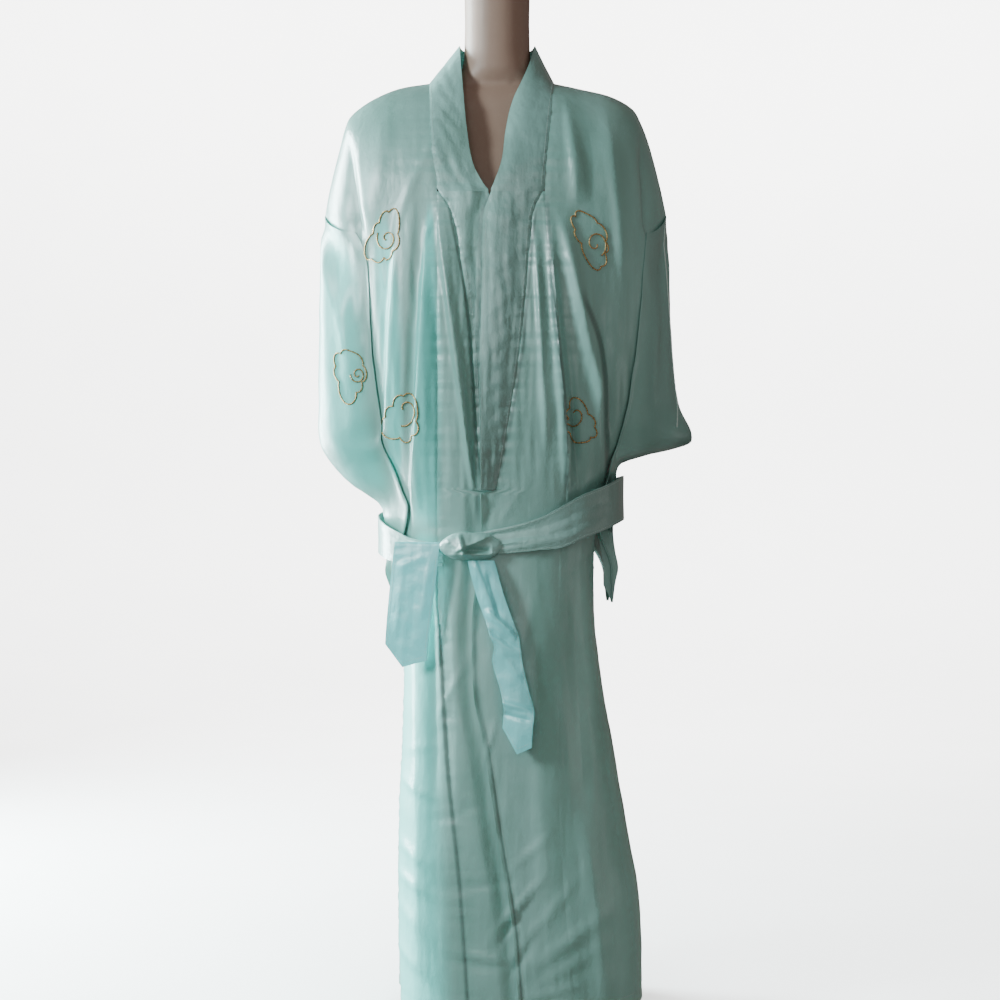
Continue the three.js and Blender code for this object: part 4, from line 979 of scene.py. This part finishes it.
for side in ("left", "right"):
    bandEndAt, wide = partial(bandEndPoint, side), stitch["bandWide"][side]
    rowsToSew += [
        (partial(frontPoint, side), along, panelHem, single),
        (partial(okumiPoint, side), along, level - hemShare / (panelRows - firstRow), single),
        (partial(sleevePoint, side), along, level * stitch["wristShare"], single),
        (bandEndAt, level * stitch["inBand"] / wide, along, double),
        (bandEndAt, 1 - level * stitch["inBandEdge"] / wide, along, double),
    ]
for pointAt in (tailLeftPoint, tailRightPoint):
    hanging = mix(*stitch["tailRun"], along)
    rowsToSew += [(pointAt, level * share, hanging, double) for share in stitch["edges"]]
    rowsToSew += [(pointAt, mix(*stitch["edges"], along), level * stitch["tailEnd"], double)]
for pointAt, u, v, rise in rowsToSew:
    sewRow(sewing, onCloth(pointAt, u, v, rise))
stitches = threadPiece("stitches", sewing, stitch["thick"])

# The pale seam down the right sleeve's outer fold
paleSeam = np.array([
    (236, 1112), (234, 1084), (237, 1050), (241, 995), (245, 940), (248, 910), (254, 858),
    (252, 827)], float)
pipe = {"thick": 1.9, "step": 2.4, "rise": 0.5}
piping = bpy.data.curves.new("piping", "CURVE")
onSleeve = layOn(surfaceOf("sleeve_right_satin"), evenly(paleSeam, pipe["step"]), pipe["rise"])
found = [place for place in onSleeve if place is not None]
addRun(piping, found, [1 + 0.22 * math.sin(k * 1.9) for k in range(len(found))])
pipedSeam = threadPiece("sleeve_right_seam", piping, pipe["thick"])
print("stitches sewn")


# Materials

looks = {
    # the next line's last colour is the dark end of painted sheen and shade blotches
    "mint": (0.42, 0.75, 0.69), "mintBand": (0.42, 0.76, 0.71), "mintDark": (0.25, 0.50, 0.44),
    # the next line's first colour paints daylight through single layers
    # the next line's last two colours: the belt ends' satin painted brighter and bluer, painted light
    "mintPaintedDaylight": (0.22, 0.92, 0.84), "tails": (0.30, 0.90, 0.91), "tailsDark": (0.21, 0.74, 0.75),
    # the next line's first colour darkens seams and also paints shade
    "mintSeamAndPaintedShade": (0.15, 0.28, 0.25), "thread": (0.62, 0.80, 0.75),
    # the next line's first colour: the form darker than its cream moulding, painted shade
    "form": (0.33, 0.22, 0.17), "stand": (0.60, 0.50, 0.42),
}


def fillSockets(tree, node, inputs):  # each socket takes a value or another node's output
    for name, given in inputs.items():
        if isinstance(given, bpy.types.NodeSocket):
            tree.links.new(given, node.inputs[name])
        else:
            node.inputs[name].default_value = given


def addNode(tree, kind, inputs, **settings):
    node = tree.nodes.new("ShaderNode" + kind)
    for name, value in settings.items():
        setattr(node, name, value)
    fillSockets(tree, node, inputs)
    return node


def addTint(tree, share, low, high):  # from one colour to the other as the share grows
    inputs = {"Factor": share, 6: low, 7: high}
    return addNode(tree, "Mix", inputs, data_type="RGBA").outputs[2]


def addBump(tree, strength, depth, pattern, **beneath):
    inputs = {"Strength": strength, "Distance": depth, "Height": pattern.outputs["Fac"], **beneath}
    return addNode(tree, "Bump", inputs).outputs["Normal"]


def scaledAdd(tree, value, times, plus, **settings):
    inputs = {0: value, 1: times, 2: plus}
    return addNode(tree, "Math", inputs, operation="MULTIPLY_ADD", **settings).outputs["Value"]


def newMaterial(name):
    material = bpy.data.materials.new(name)
    material.use_nodes = True
    return material, material.node_tree, material.node_tree.nodes["Principled BSDF"]


def satinFinish():  # close, shining weave: fine threads, soft blotches of painted sheen and shade, and a faint crush
    group = bpy.data.node_groups.new("satinWeave", "ShaderNodeTree")
    sockets = {
        "INPUT": {"Colour": "Color", "Dark": "Color", "Threads": "Float", "Crush": "Float",
                  "Rough": "Float", "PaintedDaylight": "Float", "SeamAndPaintedShade": "Float"},
        "OUTPUT": {"Colour": "Color", "Roughness": "Float", "Normal": "Vector"},
    }
    for way, kinds in sockets.items():
        for name, kind in kinds.items():
            group.interface.new_socket(name, in_out=way, socket_type="NodeSocket" + kind)
    taken = group.nodes.new("NodeGroupInput").outputs
    place = addNode(group, "TexCoord", {}).outputs["Object"]
    hung = {"Vector": place, "Scale": (1, 1, 0.22)}  # streaks run along the hanging cloth
    hang = addNode(group, "Mapping", hung).outputs["Vector"]
    paintedSheenBlotch = addNode(group, "TexNoise", {"Vector": hang, "Scale": 15, "Detail": 2.5})
    streaks = addNode(group, "TexNoise", {"Vector": hang, "Scale": 62, "Detail": 5})
    crush = addNode(group, "TexNoise", {"Vector": place, "Scale": 46, "Detail": 4})
    threads = addNode(
        group, "TexWave", {"Vector": place, "Scale": 420, "Distortion": 1.5, "Detail": 2})
    # painted sheen and shade in soft blotches, stretched along the hang like the shading of folds
    uneven = scaledAdd(group, paintedSheenBlotch.outputs["Fac"], 2.6, -0.8, use_clamp=True)
    shade = addTint(group, uneven, taken["Dark"], taken["Colour"])
    # painted daylight: a brighter, greener mint where one layer hangs clear
    daylit = addTint(group, taken["PaintedDaylight"], shade, (*looks["mintPaintedDaylight"], 1))
    # seams and painted shade, towards the darkest mint
    seamsAndShade = addTint(group, taken["SeamAndPaintedShade"], daylit, (*looks["mintSeamAndPaintedShade"], 1))
    rough = scaledAdd(group, crush.outputs["Fac"], 0.12, taken["Rough"])
    softer = scaledAdd(group, taken["PaintedDaylight"], 0.28, rough)  # daylit cloth mirrors less
    streaked = addBump(group, taken["Crush"], 0.0022, streaks)
    crushed = addBump(group, taken["Crush"], 0.0026, crush, Normal=streaked)
    woven = addBump(group, taken["Threads"], 0.0002, threads, Normal=crushed)
    given = {"Colour": seamsAndShade, "Roughness": softer, "Normal": woven}
    fillSockets(group, group.nodes.new("NodeGroupOutput"), given)
    return group


weave = satinFinish()


def satin(name, colour, dark, through=0.3, crush=0.45):
    material, tree, shader = newMaterial(name)
    finish = addNode(tree, "Group", {
        "Colour": (*colour, 1), "Dark": (*dark, 1), "Threads": 0.25, "Crush": crush, "Rough": 0.29,
        "PaintedDaylight": addNode(tree, "Attribute", {}, attribute_name="paintedDaylight").outputs["Fac"],
        "SeamAndPaintedShade": addNode(tree, "Attribute", {}, attribute_name="seamAndPaintedShade").outputs["Fac"],
    }, node_tree=weave).outputs
    fillSockets(tree, shader, {
        "Base Color": finish["Colour"], "Roughness": finish["Roughness"], "Normal": finish["Normal"],
        "Specular IOR Level": 1, "Sheen Weight": 0.05, "Coat Weight": 0.6, "Coat Roughness": 0.27,
    })
    glow = addNode(tree, "BsdfTranslucent", {"Color": (*colour, 1)})
    halves = {"Fac": through, 1: shader.outputs["BSDF"], 2: glow.outputs["BSDF"]}
    both = addNode(tree, "MixShader", halves)
    fillSockets(tree, tree.nodes["Material Output"], {"Surface": both.outputs["Shader"]})
    return material


satinMint = satin("satin mint", looks["mint"], looks["mintDark"])
satinBand = satin("satin mint doubled", looks["mintBand"], looks["mintDark"], through=0.12, crush=0.9)
# the belt's ends: a brighter, bluer copy of the band's satin, painted light
satinTailsPaintedLight = satin("satin mint, belt ends", looks["tails"], looks["tailsDark"], through=0.2, crush=0.8)
for piece in [o for o in scene.objects if o.name.endswith("_satin")]:
    doubled = piece.name.startswith(("collar", "belt"))
    hanging = piece.name.startswith("belt_tail")
    piece.data.materials.append(satinTailsPaintedLight if hanging else satinBand if doubled else satinMint)


def patterned(name, colour, rough, kind, inputs, shade, bump, metallic=0, **settings):
    material, tree, shader = newMaterial(name)
    place = addNode(tree, "TexCoord", {}).outputs["Object"]
    pattern = addNode(tree, kind, {"Vector": place, **inputs}, **settings)
    low = (*[part * shade for part in colour], 1)
    fillSockets(tree, shader, {
        "Base Color": addTint(tree, pattern.outputs["Fac"], low, (*colour, 1)),
        "Normal": addBump(tree, *bump, pattern), "Roughness": rough, "Metallic": metallic,
    })
    return material


def plainFinish(name, colour, rough, fleck):
    return patterned(name, colour, rough, "TexNoise", {"Scale": fleck}, 0.94, (0.06, 0.001))


def metalThread(name, colour, rough, twist):
    wound = {"Scale": twist, "Distortion": 2}
    return patterned(
        name, colour, rough, "TexWave", wound, 0.5, (0.5, 0.0004), 0.75, bands_direction="DIAGONAL")


goldThread = metalThread("gold thread", (0.70, 0.47, 0.20), 0.34, 260)
tieThread = metalThread("tie thread", (0.30, 0.19, 0.09), 0.5, 500)
for piece in threads:
    piece.data.materials.append(tieThread if "ties" in piece.name else goldThread)
sewingThread = plainFinish("sewing thread", looks["thread"], 0.5, 900)
for piece in (stitches, pipedSeam):
    piece.data.materials.append(sewingThread)

# the form's colour carries painted shade: it is darker than the cream moulding
formFinish = plainFinish("form moulding", looks["form"], 0.5, 60)
standFinish = plainFinish("stand powder coat", looks["stand"], 0.45, 900)
formMesh = bpy.data.objects["form_torso"].data.copy()
bm = bmesh.new()
bm.from_mesh(formMesh)
bmesh.ops.remove_doubles(bm, verts=bm.verts[:], dist=0.00005)
form = finishPiece("form_torso_moulded", bm)
bpy.data.meshes.remove(formMesh)
moulding = form.modifiers.new("moulding", "REMESH")
moulding.mode = "VOXEL"
moulding.voxel_size = 4 * mm
moulding.use_smooth_shade = True
even = form.modifiers.new("even", "SMOOTH")
even.iterations = 8
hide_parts("form_torso")
form.data.materials.clear()
form.data.materials.append(formFinish)
for node in ("form_pole", "form_base"):
    for slot in bpy.data.objects[node].material_slots:
        slot.material = standFinish
print("materials made")

# Floor and soft studio light
floorRise = ((0, 0), (3.4, 0), (4.5, 0.12), (5.2, 0.6), (5.5, 1.5), (5.5, 3.8))  # out and up, m
bm = bmesh.new()
course = [bm.verts.new((out, 0, up)) for out, up in floorRise]
runs = [bm.edges.new(ends) for ends in zip(course, course[1:])]
bmesh.ops.spin(
    bm, geom=course + runs, axis=(0, 0, 1), angle=math.tau, steps=96, use_merge=True)
bmesh.ops.remove_doubles(bm, verts=bm.verts[:], dist=0.0001)
floorMesh = bpy.data.meshes.new("floor")
bm.to_mesh(floorMesh)
bm.free()
floor = addObject("floor", floorMesh)
curve = floor.modifiers.new("curve", "SUBSURF")
curve.levels = curve.render_levels = 2
floor.data.materials.append(plainFinish("floor paint", (0.93, 0.93, 0.92), 0.8, 3))
floor.visible_diffuse = floor.visible_glossy = floor.visible_transmission = False
floor.visible_shadow = False  # the room's pale walls throw no light back on the satin
stageOnly = bpy.data.collections.new("stage only")
stageOnly.objects.link(floor)

lamps = {
    "window": {"at": (-2.0, 1.0, 1.1), "size": (0.9, 2.0), "power": 400, "colour": (0.8, 0.97, 1)},
    "front": {"at": (-2.3, -1.4, 1.7), "size": (0.5, 0.9), "power": 90, "colour": (0.8, 0.97, 1)},
    "side": {"at": (2.2, -0.5, 0.3), "size": (0.8, 0.8), "power": 2, "aim": (0.15, 0, 0.3)},
    "fill": {"at": (-0.4, -3.0, 1.5), "size": (1.6, 1.6), "power": 14},
    "wall": {
        "at": (0, 2.6, 3.4), "size": (5, 1.5), "power": 1000, "aim": (0, 5.5, 1), "stage": True},
    "floor": {
        "at": (0, -1.0, 3.6), "size": (4, 3), "power": 540, "aim": (0, -1.2, 0), "stage": True},
}
for name, spec in lamps.items():
    lamp = bpy.data.lights.new(name, "AREA")
    lamp.shape = "RECTANGLE"
    lamp.size, lamp.size_y = spec["size"]
    lamp.energy = spec["power"]
    lamp.color = spec.get("colour", (1, 1, 1))
    holder = bpy.data.objects.new(name, lamp)
    holder.location = spec["at"]
    aim = Vector(spec.get("aim", (0, 0, 0.75))) - holder.location
    holder.rotation_euler = aim.to_track_quat("-Z", "Y").to_euler()
    scene.collection.objects.link(holder)
    if spec.get("stage"):
        holder.light_linking.receiver_collection = stageOnly
world = bpy.data.worlds.new("studio")
world.use_nodes = True
sky = world.node_tree
room = sky.nodes["Background"]
fillSockets(sky, room, {"Color": (1, 0.86, 0.80, 1), "Strength": 0.21})  # what the room gives back
backdrop = addNode(sky, "Background", {"Color": (1, 1, 1, 1), "Strength": 2.2})
either = addNode(sky, "MixShader", {
    "Fac": addNode(sky, "LightPath", {}).outputs["Is Camera Ray"],
    1: room.outputs["Background"], 2: backdrop.outputs["Background"],
})
fillSockets(sky, sky.nodes["World Output"], {"Surface": either.outputs["Shader"]})
scene.world = world
print("light set")
